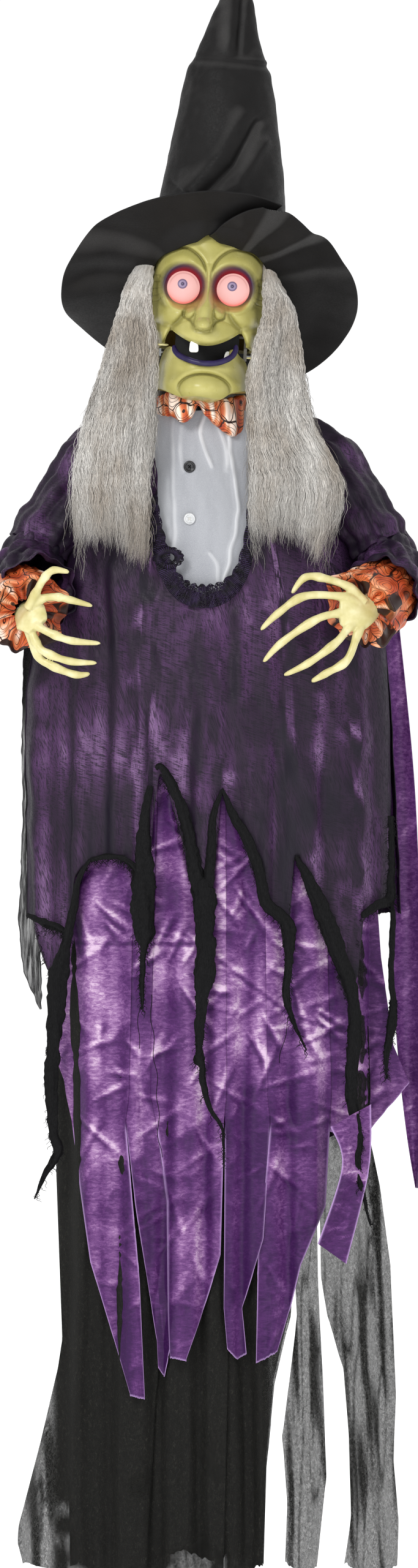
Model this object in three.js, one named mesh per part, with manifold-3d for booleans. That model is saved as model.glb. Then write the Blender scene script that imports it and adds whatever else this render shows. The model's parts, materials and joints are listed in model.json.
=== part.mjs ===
// A hanging animated witch figure: a rolled plastic head with a geared jaw and lit eyes, a hanging eye behind
// the hat, two bendable wire arms, a control box in the chest, and a costume of layered cloth.
// Millimetres, +Z up. The figure faces -Y, and its own left side is +X.
// The origin is the bearing point of the hanging eye, at the top of the inside of its ring.

import * as THREE from "three";
import { mergeVertices } from "three/addons/utils/BufferGeometryUtils.js";
import Module from "manifold-3d";

const wasm = await Module();
wasm.setup();

// ---- Driving dimensions ----------------------------------------------------------------------------------

const DEG = Math.PI / 180;
const GAP = 0.4; // the gap left between pieces that touch

// The head's own frame is at eye level, on the head's vertical axis. It leans sideways about the neck.
const NECK = new THREE.Vector3(-8, -45, -418);
const EYES_ABOVE_NECK = 172;
const HEAD_LEAN = 3 * DEG;
const SHELL = 2.5; // wall of the head's mouldings
const HEAD_BOTTOM = -68;
const HEAD_TOP = 92;
const SHELL_SPLIT_Y = 2;
const EYE_X = 28;
const EYE_CENTRE_Y = -62;
const EYE_RADIUS = 18.5;
const GAZE = { x: -1.7, z: 3.4 }; // how far the pupils sit off the eyes' centres

// The jaw and its drive, in the head's frame. The hinge runs along X.
const JAW_HINGE = { y: -12, z: -72 };
const JAW_WALL = 3;
const JAW_HALF_WIDTH = 50;
const JAW_BACK = -3;
const JAW_BOTTOM = -128;
const JAW_TOP = -66;
const PIN_RADIUS = 2.5;
const GEAR_MODULE = 1;
const SECTOR_TEETH = 48;
const PINION_TEETH = 12;
const GEAR_WIDTH = 3.6;
const GEAR_X = 43.6;
const DRIVE_ANGLE = 45 * DEG; // from +Y towards +Z, from the hinge to the pinion
const CENTRE_DISTANCE = (GEAR_MODULE * (SECTOR_TEETH + PINION_TEETH)) / 2;

// The body frame and the control box.
const BODY_Y = -20;
const NECK_TUBE = { y: 23, radius: 17, wall: 3, top: HEAD_BOTTOM + SHELL, bottom: -190 };
const BAR = { halfLength: 118, radius: 9, z: -420 };
const BOX = { x: -8, halfWidth: 45, front: -70, back: -20, top: -472, bottom: -592, wall: 2.5 };
const BATTERY = { radius: 7.2, length: 50.5, pitch: 16, y: -31 };

// The arms. Each bends at the shoulder and at the elbow.
const SHOULDER = { x: 146, y: -20, z: -420 };
const ELBOW = { x: 222, y: -35, z: -552 };
const WIRE_RADIUS = 4;

// The hanging eye.
const EYE_RING = { inner: 12, wire: 2 };
const HANGER_FOOT_Z = -180;

// The costume.
const CLOTH = 2.4; // how thick a layer of cloth is drawn
const BRIM = { tilt: 38 * DEG, holeX: 70, holeSlope: 98, outerX: 168, outerSlope: 169 };

const COLOURS = {
  skin: [0x9a9a4a, 0.45, 0],
  lip: [0x2c2150, 0.35, 0],
  tooth: [0xf0efe6, 0.3, 0],
  lit_eye: [0xff9c96, 0.25, 0],
  pupil: [0x6f5d80, 0.2, 0],
  black_plastic: [0x141414, 0.5, 0],
  steel: [0xb9bcc0, 0.3, 1],
  white_plastic: [0xd8d6cf, 0.5, 0],
  board: [0x1d5c34, 0.5, 0],
  battery: [0x3a3a3c, 0.35, 0.3],
  hair: [0xa9a6a0, 0.6, 0],
  hat_cloth: [0x161616, 0.55, 0],
  web_print: [0xe8703a, 0.5, 0],
  shirt_cloth: [0xb5b7ba, 0.35, 0],
  lace: [0x15121a, 0.8, 0],
  robe_cloth: [0x3b2550, 0.4, 0],
  satin: [0x6a3a86, 0.3, 0],
  gauze: [0x1a1a18, 0.85, 0],
  bone: [0xe2dca8, 0.4, 0],
};

// ---- Helpers ---------------------------------------------------------------------------------------------

function solidOf(geometry) {
  const bare = geometry.index ? geometry.toNonIndexed() : geometry.clone();
  bare.deleteAttribute("normal");
  bare.deleteAttribute("uv");
  const merged = mergeVertices(bare, 1e-3);
  const build = (triVerts) =>
    new wasm.Manifold(
      new wasm.Mesh({ numProp: 3, vertProperties: merged.attributes.position.array, triVerts }),
    );
  const faces = new Uint32Array(merged.index.array);
  const solid = build(faces);
  return solid.volume() > 0 ? solid : build(faces.map((_, i) => faces[i - (i % 3) + 2 - (i % 3)]));
}

function geometryOf(solid) {
  const mesh = solid.getMesh();
  const geometry = new THREE.BufferGeometry();
  geometry.setAttribute("position", new THREE.BufferAttribute(mesh.vertProperties, 3));
  geometry.setIndex(new THREE.BufferAttribute(mesh.triVerts, 1));
  geometry.computeVertexNormals();
  return geometry;
}

const join = (first, ...others) => others.reduce((all, other) => all.add(other), first);
const cut = (first, ...others) => others.reduce((all, other) => all.subtract(other), first);

// Moves each vertex of a closed geometry to where place(vertex) says.
function mapped(geometry, place) {
  const position = geometry.getAttribute("position");
  const vertex = new THREE.Vector3();
  for (let i = 0; i < position.count; i++) {
    vertex.fromBufferAttribute(position, i);
    position.setXYZ(i, ...place(vertex).toArray());
  }
  return geometry;
}

// A box between two corners, as a solid.
function block(x0, x1, y0, y1, z0, z1) {
  const box = new THREE.BoxGeometry(x1 - x0, y1 - y0, z1 - z0);
  return solidOf(box.translate((x0 + x1) / 2, (y0 + y1) / 2, (z0 + z1) / 2));
}

// A cylinder along "x", "y" or "z" from one coordinate to another, centred on the other two.
function rod(axis, from, to, centre, radius, sides = 16) {
  const cylinder = new THREE.CylinderGeometry(radius, radius, to - from, sides);
  const middle = (from + to) / 2;
  if (axis === "x") cylinder.rotateZ(Math.PI / 2).translate(middle, centre[0], centre[1]);
  if (axis === "y") cylinder.translate(centre[0], middle, centre[1]);
  if (axis === "z") cylinder.rotateX(Math.PI / 2).translate(centre[0], centre[1], middle);
  return solidOf(cylinder);
}

// Straight lines between [input, output] pairs, held level past both ends.
function graph(...pairs) {
  return (input) => {
    const next = pairs.findIndex((pair) => pair[0] > input);
    if (next === 0) return pairs[0][1];
    if (next < 0) return pairs[pairs.length - 1][1];
    const [[i0, o0], [i1, o1]] = [pairs[next - 1], pairs[next]];
    return o0 + ((o1 - o0) * (input - i0)) / (i1 - i0);
  };
}

const bump = (distance, width) => Math.exp(-((distance / width) ** 2));

// A point on a curve's cross-section: `along` is 0 to 1, `side` and `up` are distances from the centreline.
function besideCurve(curve, along, side, up, reference) {
  const tangent = curve.getTangent(along);
  const sideways = new THREE.Vector3().crossVectors(reference, tangent).normalize();
  const upward = new THREE.Vector3().crossVectors(tangent, sideways);
  return curve.getPoint(along).addScaledVector(sideways, side).addScaledVector(upward, up);
}

const curveThrough = (points) =>
  new THREE.CatmullRomCurve3(points.map((point) => new THREE.Vector3(...point)));

// A solid rod along a curve, with its own half width and half height at each place.
function limb(curve, width, height, sides, steps, reference = new THREE.Vector3(0, 0, 1)) {
  const place = (v) => {
    const along = THREE.MathUtils.clamp(0.5 - v.y, 0, 1);
    return besideCurve(curve, along, v.x * width(along), v.z * height(along), reference);
  };
  return solidOf(mapped(new THREE.CylinderGeometry(1, 1, 1, sides, steps), place));
}

// An open-ended tube of cloth along a curve.
function sleeve(curve, radius, sides, steps, reference) {
  const inner = 0.5;
  const outside = Array.from({ length: steps + 1 }, (_, i) => new THREE.Vector2(1, i / steps));
  const inside = outside.map((point) => new THREE.Vector2(inner, point.y)).reverse();
  const ring = new THREE.LatheGeometry([...outside, ...inside, outside[0]], sides);
  const place = (v) => {
    const length = Math.hypot(v.x, v.z);
    const reach = radius(v.y) - (length < 0.75 ? CLOTH : 0);
    return besideCurve(curve, v.y, (v.x / length) * reach, (v.z / length) * reach, reference);
  };
  return solidOf(mapped(ring, place));
}

const root = new THREE.Group();
const headLean = new THREE.Group();
headLean.position.copy(NECK);
headLean.rotation.y = HEAD_LEAN;
const head = new THREE.Group();
head.position.z = EYES_ABOVE_NECK;
headLean.add(head);
root.add(headLean);

function add(parent, name, material, solid) {
  const [color, roughness, metalness] = COLOURS[material];
  const finish = new THREE.MeshStandardMaterial({ color, roughness, metalness });
  const mesh = new THREE.Mesh(geometryOf(solid), finish);
  mesh.name = name;
  parent.add(mesh);
}

// A point of the body's frame in the head's own frame.
headLean.updateMatrixWorld(true);
const inHead = (x, y, z) => head.worldToLocal(new THREE.Vector3(x, y, z));

// ---- Head shells -----------------------------------------------------------------------------------------

const headHalfWidth = graph([-68, 58], [-40, 64], [0, 65], [30, 64], [60, 56], [78, 42], [92, 12]);
const headFront = graph([-68, 84], [-30, 80], [0, 73], [30, 77], [60, 68], [78, 48], [92, 12]);
const headBack = graph([-68, 56], [-30, 69], [20, 73], [60, 63], [78, 45], [92, 12]);

// The brows, cheeks and eye sockets, as a height added to the front of the face.
function faceRelief(x, z) {
  const brows = 9 * bump(Math.abs(x) - 27, 14) * bump(z - 25, 9);
  const cheeks = 7 * bump(Math.abs(x) - 40, 14) * bump(z + 32, 16);
  const sockets = -6 * bump(Math.abs(x) - EYE_X, 14) * bump(z, 12);
  return brows + cheeks + sockets;
}

function headSolid(inset, bottom, around) {
  const top = HEAD_TOP - inset;
  const place = (v) => {
    const z = bottom + (top - bottom) * (0.5 + v.y);
    const length = Math.hypot(v.x, v.z);
    const reach = length < 1e-6 ? 0 : 1;
    const [side, back] = reach ? [v.x / length, -v.z / length] : [0, 0];
    const x = side * (headHalfWidth(z) - inset);
    const depth = back < 0 ? headFront(z) : headBack(z);
    const relief = back < 0 && inset === 0 ? -faceRelief(x, z) * Math.min(1, -2 * back) : 0;
    return new THREE.Vector3(x, back * (depth - inset) + relief, z);
  };
  return solidOf(mapped(new THREE.CylinderGeometry(1, 1, 1, around, 9), place));
}

// A flat shape in X and Z pushed through along Y.
function throughFace(outline, from, to) {
  const geometry = new THREE.ExtrudeGeometry(outline, { depth: to - from, bevelEnabled: false, curveSegments: 6 });
  return solidOf(geometry.rotateX(Math.PI / 2).translate(0, to, 0));
}

function mouthOpening() {
  const corner = 40;
  const outline = new THREE.Shape([new THREE.Vector2(-corner, -95), new THREE.Vector2(-corner, -50)]);
  outline.quadraticCurveTo(0, -80, corner, -50);
  outline.lineTo(corner, -95);
  return throughFace(outline, -130, -20);
}

function nose() {
  const bridge = curveThrough([[0, -70, 16], [0, -84, -6], [0, -99, -30], [0, -104, -44]]);
  const width = graph([0, 5], [0.5, 8], [0.85, 9], [1, 5]);
  const wing = (side) => {
    const ball = new THREE.SphereGeometry(8, 10, 8).translate(side * 14, -84, -30);
    return solidOf(ball);
  };
  return join(limb(bridge, width, width, 10, 7), wing(1), wing(-1));
}

// The tooth hangs behind the upper lip. The gap is left all round it where it is cut out of the shell.
function upperTooth(gap) {
  return block(-18 - gap, -8 + gap, -80 - gap, -77.5 + gap, -71.5, -58 + gap);
}

function headShells() {
  const outer = headSolid(0, HEAD_BOTTOM, 24);
  const hollow = headSolid(SHELL, HEAD_BOTTOM - 20, 24);
  const frontHalf = block(-200, 200, -200, SHELL_SPLIT_Y, -200, 200);
  const rearHalf = block(-200, 200, SHELL_SPLIT_Y + GAP, 200, -200, 200);
  const eyeHole = (side) => rod("y", -120, -30, [side * EYE_X, 0], EYE_RADIUS + 1.5, 20);
  const toothRoom = upperTooth(GAP);
  const front = cut(outer.add(nose()), hollow, mouthOpening(), eyeHole(1), eyeHole(-1), toothRoom);
  add(head, "head_front_shell", "skin", front.intersect(frontHalf));

  const floor = outer.intersect(block(-200, 200, -200, 200, HEAD_BOTTOM, HEAD_BOTTOM + SHELL));
  const neckHole = rod("z", -100, 0, [0, NECK_TUBE.y], NECK_TUBE.radius + 1);
  const hanger = inHead(0, 0, HANGER_FOOT_Z);
  const hangerHole = rod("z", 40, 120, [hanger.x, hanger.y], EYE_RING.wire + 4, 12);
  const gearSlot = block(GEAR_X - 3, GEAR_X + 4, -10, 22, HEAD_BOTTOM - 5, HEAD_BOTTOM + 9);
  const rear = cut(outer.subtract(hollow).add(floor), neckHole, hangerHole, gearSlot);
  add(head, "head_rear_shell", "skin", rear.intersect(rearHalf));
}

// ---- Eyes, teeth and mouth -------------------------------------------------------------------------------

function eyes() {
  const arc = (radius) =>
    Array.from({ length: 6 }, (_, i) => {
      const angle = (i / 5) * (Math.PI / 2);
      return new THREE.Vector2(radius * Math.sin(angle), radius * Math.cos(angle));
    });
  const profile = [...arc(EYE_RADIUS), ...arc(EYE_RADIUS - 1.5).reverse()];
  for (const [name, side] of [["left", 1], ["right", -1]]) {
    const dome = new THREE.LatheGeometry([...profile, profile[0]], 14).rotateX(Math.PI);
    add(head, `${name}_eye_dome`, "lit_eye", solidOf(dome.translate(side * EYE_X, EYE_CENTRE_Y, 0)));
    const pupil = rod("y", -82.2, -81, [side * EYE_X + GAZE.x, GAZE.z], 5.5, 18);
    add(head, `${name}_pupil_disc`, "pupil", pupil);
  }
  const led = (side) => rod("y", -59, -45.2, [side * EYE_X, 0], 2.5, 10);
  add(head, "eye_light_board", "board", join(block(-36, 36, -45.6, -44, -6, 6), led(1), led(-1)));
}

function mouthParts() {
  add(head, "mouth_liner", "black_plastic", block(-36, 36, -40, -38, -100, -24));
  add(head, "upper_tooth", "tooth", upperTooth(0));
}

// ---- Jaw and its drive -----------------------------------------------------------------------------------

const jawHalfWidth = graph([-128, 40], [-115, 50], [-90, 51], [-66, JAW_HALF_WIDTH]);
const jawFront = graph([-128, 76], [-118, 92], [-104, 94], [-92, 82], [-66, 77]);

function jawSolid(inset, bottom, back, around) {
  const place = (v) => {
    const z = bottom + (JAW_TOP + (inset ? 10 : 0) - bottom) * (0.5 + v.y);
    const length = Math.hypot(v.x, v.z);
    const [side, rear] = length < 1e-6 ? [0, 0] : [v.x / length, -v.z / length];
    const squared = Math.sign(side) * Math.abs(side) ** (rear > 0 ? 0.35 : 0.8);
    return new THREE.Vector3(
      squared * (jawHalfWidth(z) - inset),
      rear < 0 ? rear * (jawFront(z) - inset) : rear * back,
      z,
    );
  };
  return solidOf(mapped(new THREE.CylinderGeometry(1, 1, 1, around, 6), place));
}

function lipOpening() {
  const corner = 40;
  const outline = new THREE.Shape([new THREE.Vector2(-corner, -50), new THREE.Vector2(-corner, -70)]);
  outline.quadraticCurveTo(0, -99, corner, -70);
  outline.lineTo(corner, -50);
  return throughFace(outline, -130, -34);
}

// The lower lip lies on the jaw's rim, as a bow of tube.
function lowerLip(scale) {
  const bow = curveThrough([
    [-38, -50, -70.5], [-33, -60, -75], [-20, -71.5, -81], [0, -77, -84.5], [20, -71.5, -81], [33, -60, -75],
    [38, -50, -70.5],
  ]);
  const radius = graph([0, 1.6 * scale], [0.15, 3.2 * scale], [0.85, 3.2 * scale], [1, 1.6 * scale]);
  return limb(bow, radius, radius, 8, 12);
}

function jawParts() {
  const { y, z } = JAW_HINGE;
  const pinHole = rod("x", -80, 80, [y, z], PIN_RADIUS + 0.6, 12);
  const hollow = jawSolid(JAW_WALL, JAW_BOTTOM + JAW_WALL, 30, 20);
  const outer = jawSolid(0, JAW_BOTTOM, JAW_BACK, 20);
  add(head, "jaw_shell", "skin", cut(outer, hollow, lipOpening(), lowerLip(1.15), pinHole));
  add(head, "lower_lip", "lip", lowerLip(1));
  add(head, "lower_tooth", "tooth", block(19, 28, -60.6, -57.6, -88, -72));
  for (const [name, side] of [["left", 1], ["right", -1]]) {
    const inner = side * (JAW_HALF_WIDTH - JAW_WALL - 4.6);
    const outer = side * (headHalfWidth(HEAD_BOTTOM) + 0.5);
    const pin = rod("x", Math.min(inner, outer), Math.max(inner, outer), [y, z], PIN_RADIUS, 12);
    const lug = block(-3, 3, y - 5, y + 5, z - 5, HEAD_BOTTOM - GAP);
    const at = side * (JAW_HALF_WIDTH + 4.4);
    add(head, `${name}_jaw_pin`, "steel", pin.add(lug.translate([at, 0, 0])));
  }
}

// One gear's outline, centred on the origin, with involute flanks. Only teeth from first to last are cut.
function gearOutline(teeth, first, last) {
  const pitch = (GEAR_MODULE * teeth) / 2;
  const base = pitch * Math.cos(20 * DEG);
  const tip = pitch + 0.8 * GEAR_MODULE;
  const foot = pitch - 1.1 * GEAR_MODULE;
  const backlash = 0.14; // taken off each flank, at the pitch circle
  const involute = (radius) => {
    const roll = Math.sqrt(Math.max(0, (radius / base) ** 2 - 1));
    return roll - Math.atan(roll);
  };
  const halfAtPitch = (Math.PI * GEAR_MODULE) / 4 / pitch - backlash / pitch;
  const half = (radius) => halfAtPitch + involute(pitch) - involute(radius);
  const radii = [foot, pitch, tip];
  const points = [];
  for (let tooth = first; tooth <= last; tooth++) {
    const middle = (tooth * 2 * Math.PI) / teeth;
    radii.forEach((r) => points.push([r, middle - half(r)]));
    [...radii].reverse().forEach((r) => points.push([r, middle + half(r)]));
  }
  return points.map(([r, a]) => new THREE.Vector2(r * Math.cos(a), r * Math.sin(a)));
}

// Pushes an outline drawn in Y and Z through along X, centred on the gears' plane.
function gearPlate(outline, width) {
  const geometry = new THREE.ExtrudeGeometry(new THREE.Shape(outline), { depth: width, bevelEnabled: false });
  const axes = new THREE.Matrix4().makeBasis(
    new THREE.Vector3(0, 1, 0),
    new THREE.Vector3(0, 0, 1),
    new THREE.Vector3(1, 0, 0),
  );
  return solidOf(geometry.applyMatrix4(axes).translate(GEAR_X - width / 2, 0, 0));
}

function jawDrive() {
  const { y, z } = JAW_HINGE;
  const teethEachWay = 4;
  const sectorPoints = gearOutline(SECTOR_TEETH, -teethEachWay, teethEachWay);
  const hubReach = new THREE.Vector2(-9, 0);
  const sector = gearPlate([...sectorPoints, new THREE.Vector2(2, 9), hubReach, new THREE.Vector2(2, -9)], GEAR_WIDTH);
  const turned = sector.rotate([DRIVE_ANGLE / DEG, 0, 0]).translate([0, y, z]);
  add(head, "jaw_sector_gear", "white_plastic", cut(turned, rod("x", 0, 60, [y, z], PIN_RADIUS + 0.6, 12)));

  const pinionY = y + CENTRE_DISTANCE * Math.cos(DRIVE_ANGLE);
  const pinionZ = z + CENTRE_DISTANCE * Math.sin(DRIVE_ANGLE);
  const pinion = gearPlate(gearOutline(PINION_TEETH, 0, PINION_TEETH - 1), GEAR_WIDTH);
  // Half a tooth of turn, so that a gap of the pinion faces the sector's middle tooth.
  const meshTurn = DRIVE_ANGLE / DEG + 180 + 180 / PINION_TEETH;
  const shaft = rod("x", 34.6, GEAR_X + GEAR_WIDTH / 2 + 1, [0, 0], 1.5, 10);
  const pinionSolid = pinion.add(shaft).rotate([meshTurn, 0, 0]).translate([0, pinionY, pinionZ]);
  add(head, "jaw_pinion", "white_plastic", pinionSolid);

  const can = rod("x", 8, 32, [pinionY, pinionZ], 11, 20);
  const collar = rod("x", 31, 34, [pinionY, pinionZ], 4, 12);
  add(head, "jaw_motor", "steel", can.add(collar));
  const plate = block(32.4, 33.9, pinionY - 14, pinionY + 14, pinionZ - 12, pinionZ + 20);
  const foot = block(4, 33.9, pinionY - 14, pinionY + 14, pinionZ + 12, pinionZ + 13.5);
  const bracket = cut(plate.add(foot), rod("x", 30, 36, [pinionY, pinionZ], 4.5, 12));
  add(head, "jaw_motor_bracket", "black_plastic", bracket);
}

// ---- Frame, hanging eye and control box ------------------------------------------------------------------

function hangingEye() {
  const { inner, wire } = EYE_RING;
  const centreZ = -inner;
  const ring = new THREE.TorusGeometry(inner + wire, wire, 8, 18).rotateX(Math.PI / 2).translate(0, 0, centreZ);
  const stem = rod("z", HANGER_FOOT_Z, centreZ - inner - wire, [0, 0], wire, 10);
  const flange = rod("z", HANGER_FOOT_Z - 3, HANGER_FOOT_Z, [0, 0], 6, 12);
  add(root, "hanging_eye_rod", "steel", join(solidOf(ring), stem, flange));
}

function neckAndBar() {
  const { y, radius, wall, top, bottom } = NECK_TUBE;
  const inner = radius - wall;
  const flange = rod("z", top + GAP, top + 3, [0, y], radius + 5, 16);
  const tube = rod("z", bottom, top + 3, [0, y], radius, 16).add(flange);
  const bore = rod("z", bottom - 5, top + 5, [0, y], inner, 16);
  const barHole = rod("x", -30, 30, [BODY_Y - NECK.y, BAR.z - NECK.z - EYES_ABOVE_NECK], BAR.radius + 2, 16);
  add(head, "neck_tube", "black_plastic", cut(tube, bore, barHole));
  add(root, "shoulder_bar", "black_plastic", rod("x", -BAR.halfLength, BAR.halfLength, [BODY_Y, BAR.z], BAR.radius, 16));
}

function controlBox() {
  const { x, halfWidth, front, back, top, bottom, wall } = BOX;
  const [x0, x1] = [x - halfWidth, x + halfWidth];
  const divider = -41;
  const bayHalf = 1.5 * BATTERY.pitch + 1;
  const bayBottom = bottom + wall + 3;
  const bayTop = bayBottom + BATTERY.length + 3;
  const casing = block(x0, x1, front, back, bottom, top);
  const frontRoom = block(x0 + wall, x1 - wall, front - 5, divider - wall, bottom + wall, top - wall);
  const bay = block(x - bayHalf, x + bayHalf, divider, back + 5, bayBottom, bayTop);
  const cableSlot = block(x - 4, x + 4, -48, -36, top - 16, top + 5);
  add(root, "control_box_casing", "black_plastic", cut(casing, frontRoom, bay, cableSlot));

  const speaker = { z: top - 34, radius: 22 };
  const slots = [-14, -7, 0, 7, 14].map((dz) =>
    block(x - 16 + Math.abs(dz) / 2, x + 16 - Math.abs(dz) / 2, front - 6, front, speaker.z + dz - 1.5, speaker.z + dz + 1.5),
  );
  const cover = block(x0, x1, front - GAP - wall, front - GAP, bottom, top);
  add(root, "control_box_cover", "black_plastic", cut(cover, ...slots));

  const cone = new THREE.LatheGeometry(
    [[0, 0], [9, 0], [10, 3], [22, 8], [22, 12], [20, 12], [9, 5.5], [0, 5.5]].map((p) => new THREE.Vector2(...p)),
    18,
  );
  const speakerSolid = solidOf(cone.rotateX(Math.PI).translate(x, front + 12.6, speaker.z));
  add(root, "speaker", "steel", speakerSolid);
  add(root, "circuit_board", "board", block(x - 38, x + 38, divider - wall - 6, divider - wall - 4.4, bottom + 5, bottom + 57));

  for (const [index, offset] of [-1, 0, 1].entries()) {
    const cellX = x + offset * BATTERY.pitch;
    const from = bayBottom + 1;
    const cell = rod("z", from, from + BATTERY.length - 1.5, [cellX, BATTERY.y], BATTERY.radius, 12);
    const tip = rod("z", from, from + BATTERY.length, [cellX, BATTERY.y], 2.6, 8);
    add(root, `battery_${index + 1}`, "battery", cell.add(tip));
  }
  const door = block(x - bayHalf - 3, x + bayHalf + 3, back + GAP, back + GAP + 2, bayBottom - 2, bayTop + 3);
  const grip = block(x - 10, x + 10, back + GAP, back + GAP + 3.2, bayTop - 6, bayTop - 3);
  add(root, "battery_door", "black_plastic", door.add(grip));
  add(root, "power_switch", "white_plastic", block(x1 + GAP, x1 + 5, -60, -54, top - 36, top - 26));
}

// The loom runs from the control box up through the neck, past the bar, to the motor and the eye lights.
function wiringLoom() {
  const path = curveThrough([
    [BOX.x, -42.3, -484], [BOX.x, -41.6, -474], [BOX.x, -30, -462], [BOX.x - 1, -14, -448],
    [BOX.x, -9.6, -434], [BOX.x, -9.6, -426], [BOX.x, -9.6, -418], [BOX.x + 1, -9.6, -410], [BOX.x + 1, -10, -402],
    [BOX.x + 2, -14, -386], [BOX.x + 4, -22, -362], [BOX.x + 4, -22, -330], [BOX.x - 2, -34, -292],
    [BOX.x - 4, -62, -262], [BOX.x + 4, -86, -250],
  ]);
  const radius = () => 1.1;
  return limb(path, radius, radius, 5, 36, new THREE.Vector3(1, 0, 0));
}

// ---- Arms and hands --------------------------------------------------------------------------------------

// Each finger starts in the palm and runs through its joints to its tip.
const LEFT_HAND = {
  wrist: [186, -134, -602],
  palm: [168, -141, -611],
  fingers: [
    [[176, -140, -600], [152, -144, -582], [130, -147, -574], [108, -149, -572], [94, -148, -589]],
    [[170, -141, -603], [153, -147, -594], [108, -153, -593], [78, -153, -612], [59, -149, -630]],
    [[168, -141, -609], [147, -148, -612], [121, -154, -619], [82, -154, -645], [62, -149, -666]],
    [[170, -141, -616], [157, -147, -628], [143, -153, -645], [112, -153, -668], [85, -149, -681]],
    [[174, -140, -622], [167, -145, -636], [155, -150, -665], [131, -150, -680], [116, -147, -688]],
  ],
};
const RIGHT_HAND = {
  wrist: [-212, -132, -612],
  palm: [-201, -139, -616],
  fingers: [
    [[-204, -145, -608], [-195, -158, -592], [-186, -160, -575], [-175, -159, -564], [-159, -157, -565]],
    [[-203, -140, -606], [-188, -148, -596], [-172, -153, -594], [-157, -155, -597], [-132, -151, -603]],
    [[-203, -140, -616], [-192, -148, -627], [-177, -154, -635], [-155, -155, -643], [-123, -150, -645]],
    [[-203, -139, -624], [-194, -145, -646], [-184, -150, -656], [-157, -152, -666], [-127, -148, -667]],
    [[-204, -137, -630], [-192, -141, -660], [-179, -146, -670], [-151, -147, -681], [-135, -144, -679]],
  ],
};

function hand({ wrist, palm, fingers }) {
  const palmCurve = curveThrough([wrist, palm, fingers[2][1].map((c, i) => (c + palm[i]) / 2)]);
  const broad = graph([0, 13], [0.5, 22], [1, 15]);
  const thick = graph([0, 8], [0.5, 8], [1, 5]);
  const away = new THREE.Vector3(0, -1, 0);
  const palmSolid = limb(palmCurve, broad, thick, 10, 4, away);
  const girth = graph([0, 5], [0.22, 5.6], [0.4, 4.2], [0.55, 5], [0.7, 3.8], [0.8, 4.2], [1, 1.8]);
  return join(palmSolid, ...fingers.map((points) => limb(curveThrough(points), girth, girth, 6, 8, away)));
}

function arms() {
  for (const [name, side, shape] of [["left", 1, LEFT_HAND], ["right", -1, RIGHT_HAND]]) {
    const shoulder = [side * SHOULDER.x, SHOULDER.y, SHOULDER.z];
    const elbow = [side * ELBOW.x, ELBOW.y, ELBOW.z];
    const outwards = new THREE.Vector3(0, -1, 0);
    const wire = () => WIRE_RADIUS;

    const upperCurve = curveThrough([
      [side * (BAR.halfLength + 3), SHOULDER.y, SHOULDER.z],
      shoulder,
      [side * 186, -27, -484],
      [side * (ELBOW.x - 3), ELBOW.y + 1, ELBOW.z + 6],
    ]);
    add(root, `${name}_upper_arm_wire`, "steel", limb(upperCurve, wire, wire, 8, 9, outwards));
    const cloth = curveThrough([[side * 164, -20, -436], [side * 190, -26, -485], [side * 207, -31, -528]]);
    const upperGirth = graph([0, 27], [0.5, 36], [1, 35]);
    add(root, `${name}_upper_sleeve`, "robe_cloth", sleeve(cloth, upperGirth, 14, 3, outwards));

    const { wrist } = shape;
    const lerp = (t) => elbow.map((c, i) => c + (wrist[i] - c) * t);
    const forearm = curveThrough([lerp(0.04), lerp(0.5), lerp(0.93)]);
    add(root, `${name}_forearm_wire`, "steel", limb(forearm, wire, wire, 8, 5, outwards));
    const cuff = curveThrough([lerp(0.4), lerp(0.72), lerp(1.02)]);
    const cuffGirth = graph([0, 27], [0.55, 40], [1, 42]);
    add(root, `${name}_cuff`, "web_print", sleeve(cuff, cuffGirth, 16, 3, new THREE.Vector3(0, 0, 1)));
    add(root, `${name}_hand`, "bone", hand({ ...shape, wrist: lerp(0.96) }));
  }
}

// ---- Hat and hair ----------------------------------------------------------------------------------------

// A point of the hat at a height above the brim's hole. Angle 0 is the figure's left, and turns towards its back.
function hatRing(angle, centre, halfX, halfSlope, tilt) {
  const along = halfSlope * Math.sin(angle);
  return new THREE.Vector3(
    centre[0] + halfX * Math.cos(angle),
    centre[1] + along * Math.cos(tilt),
    centre[2] - along * Math.sin(tilt),
  );
}

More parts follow.
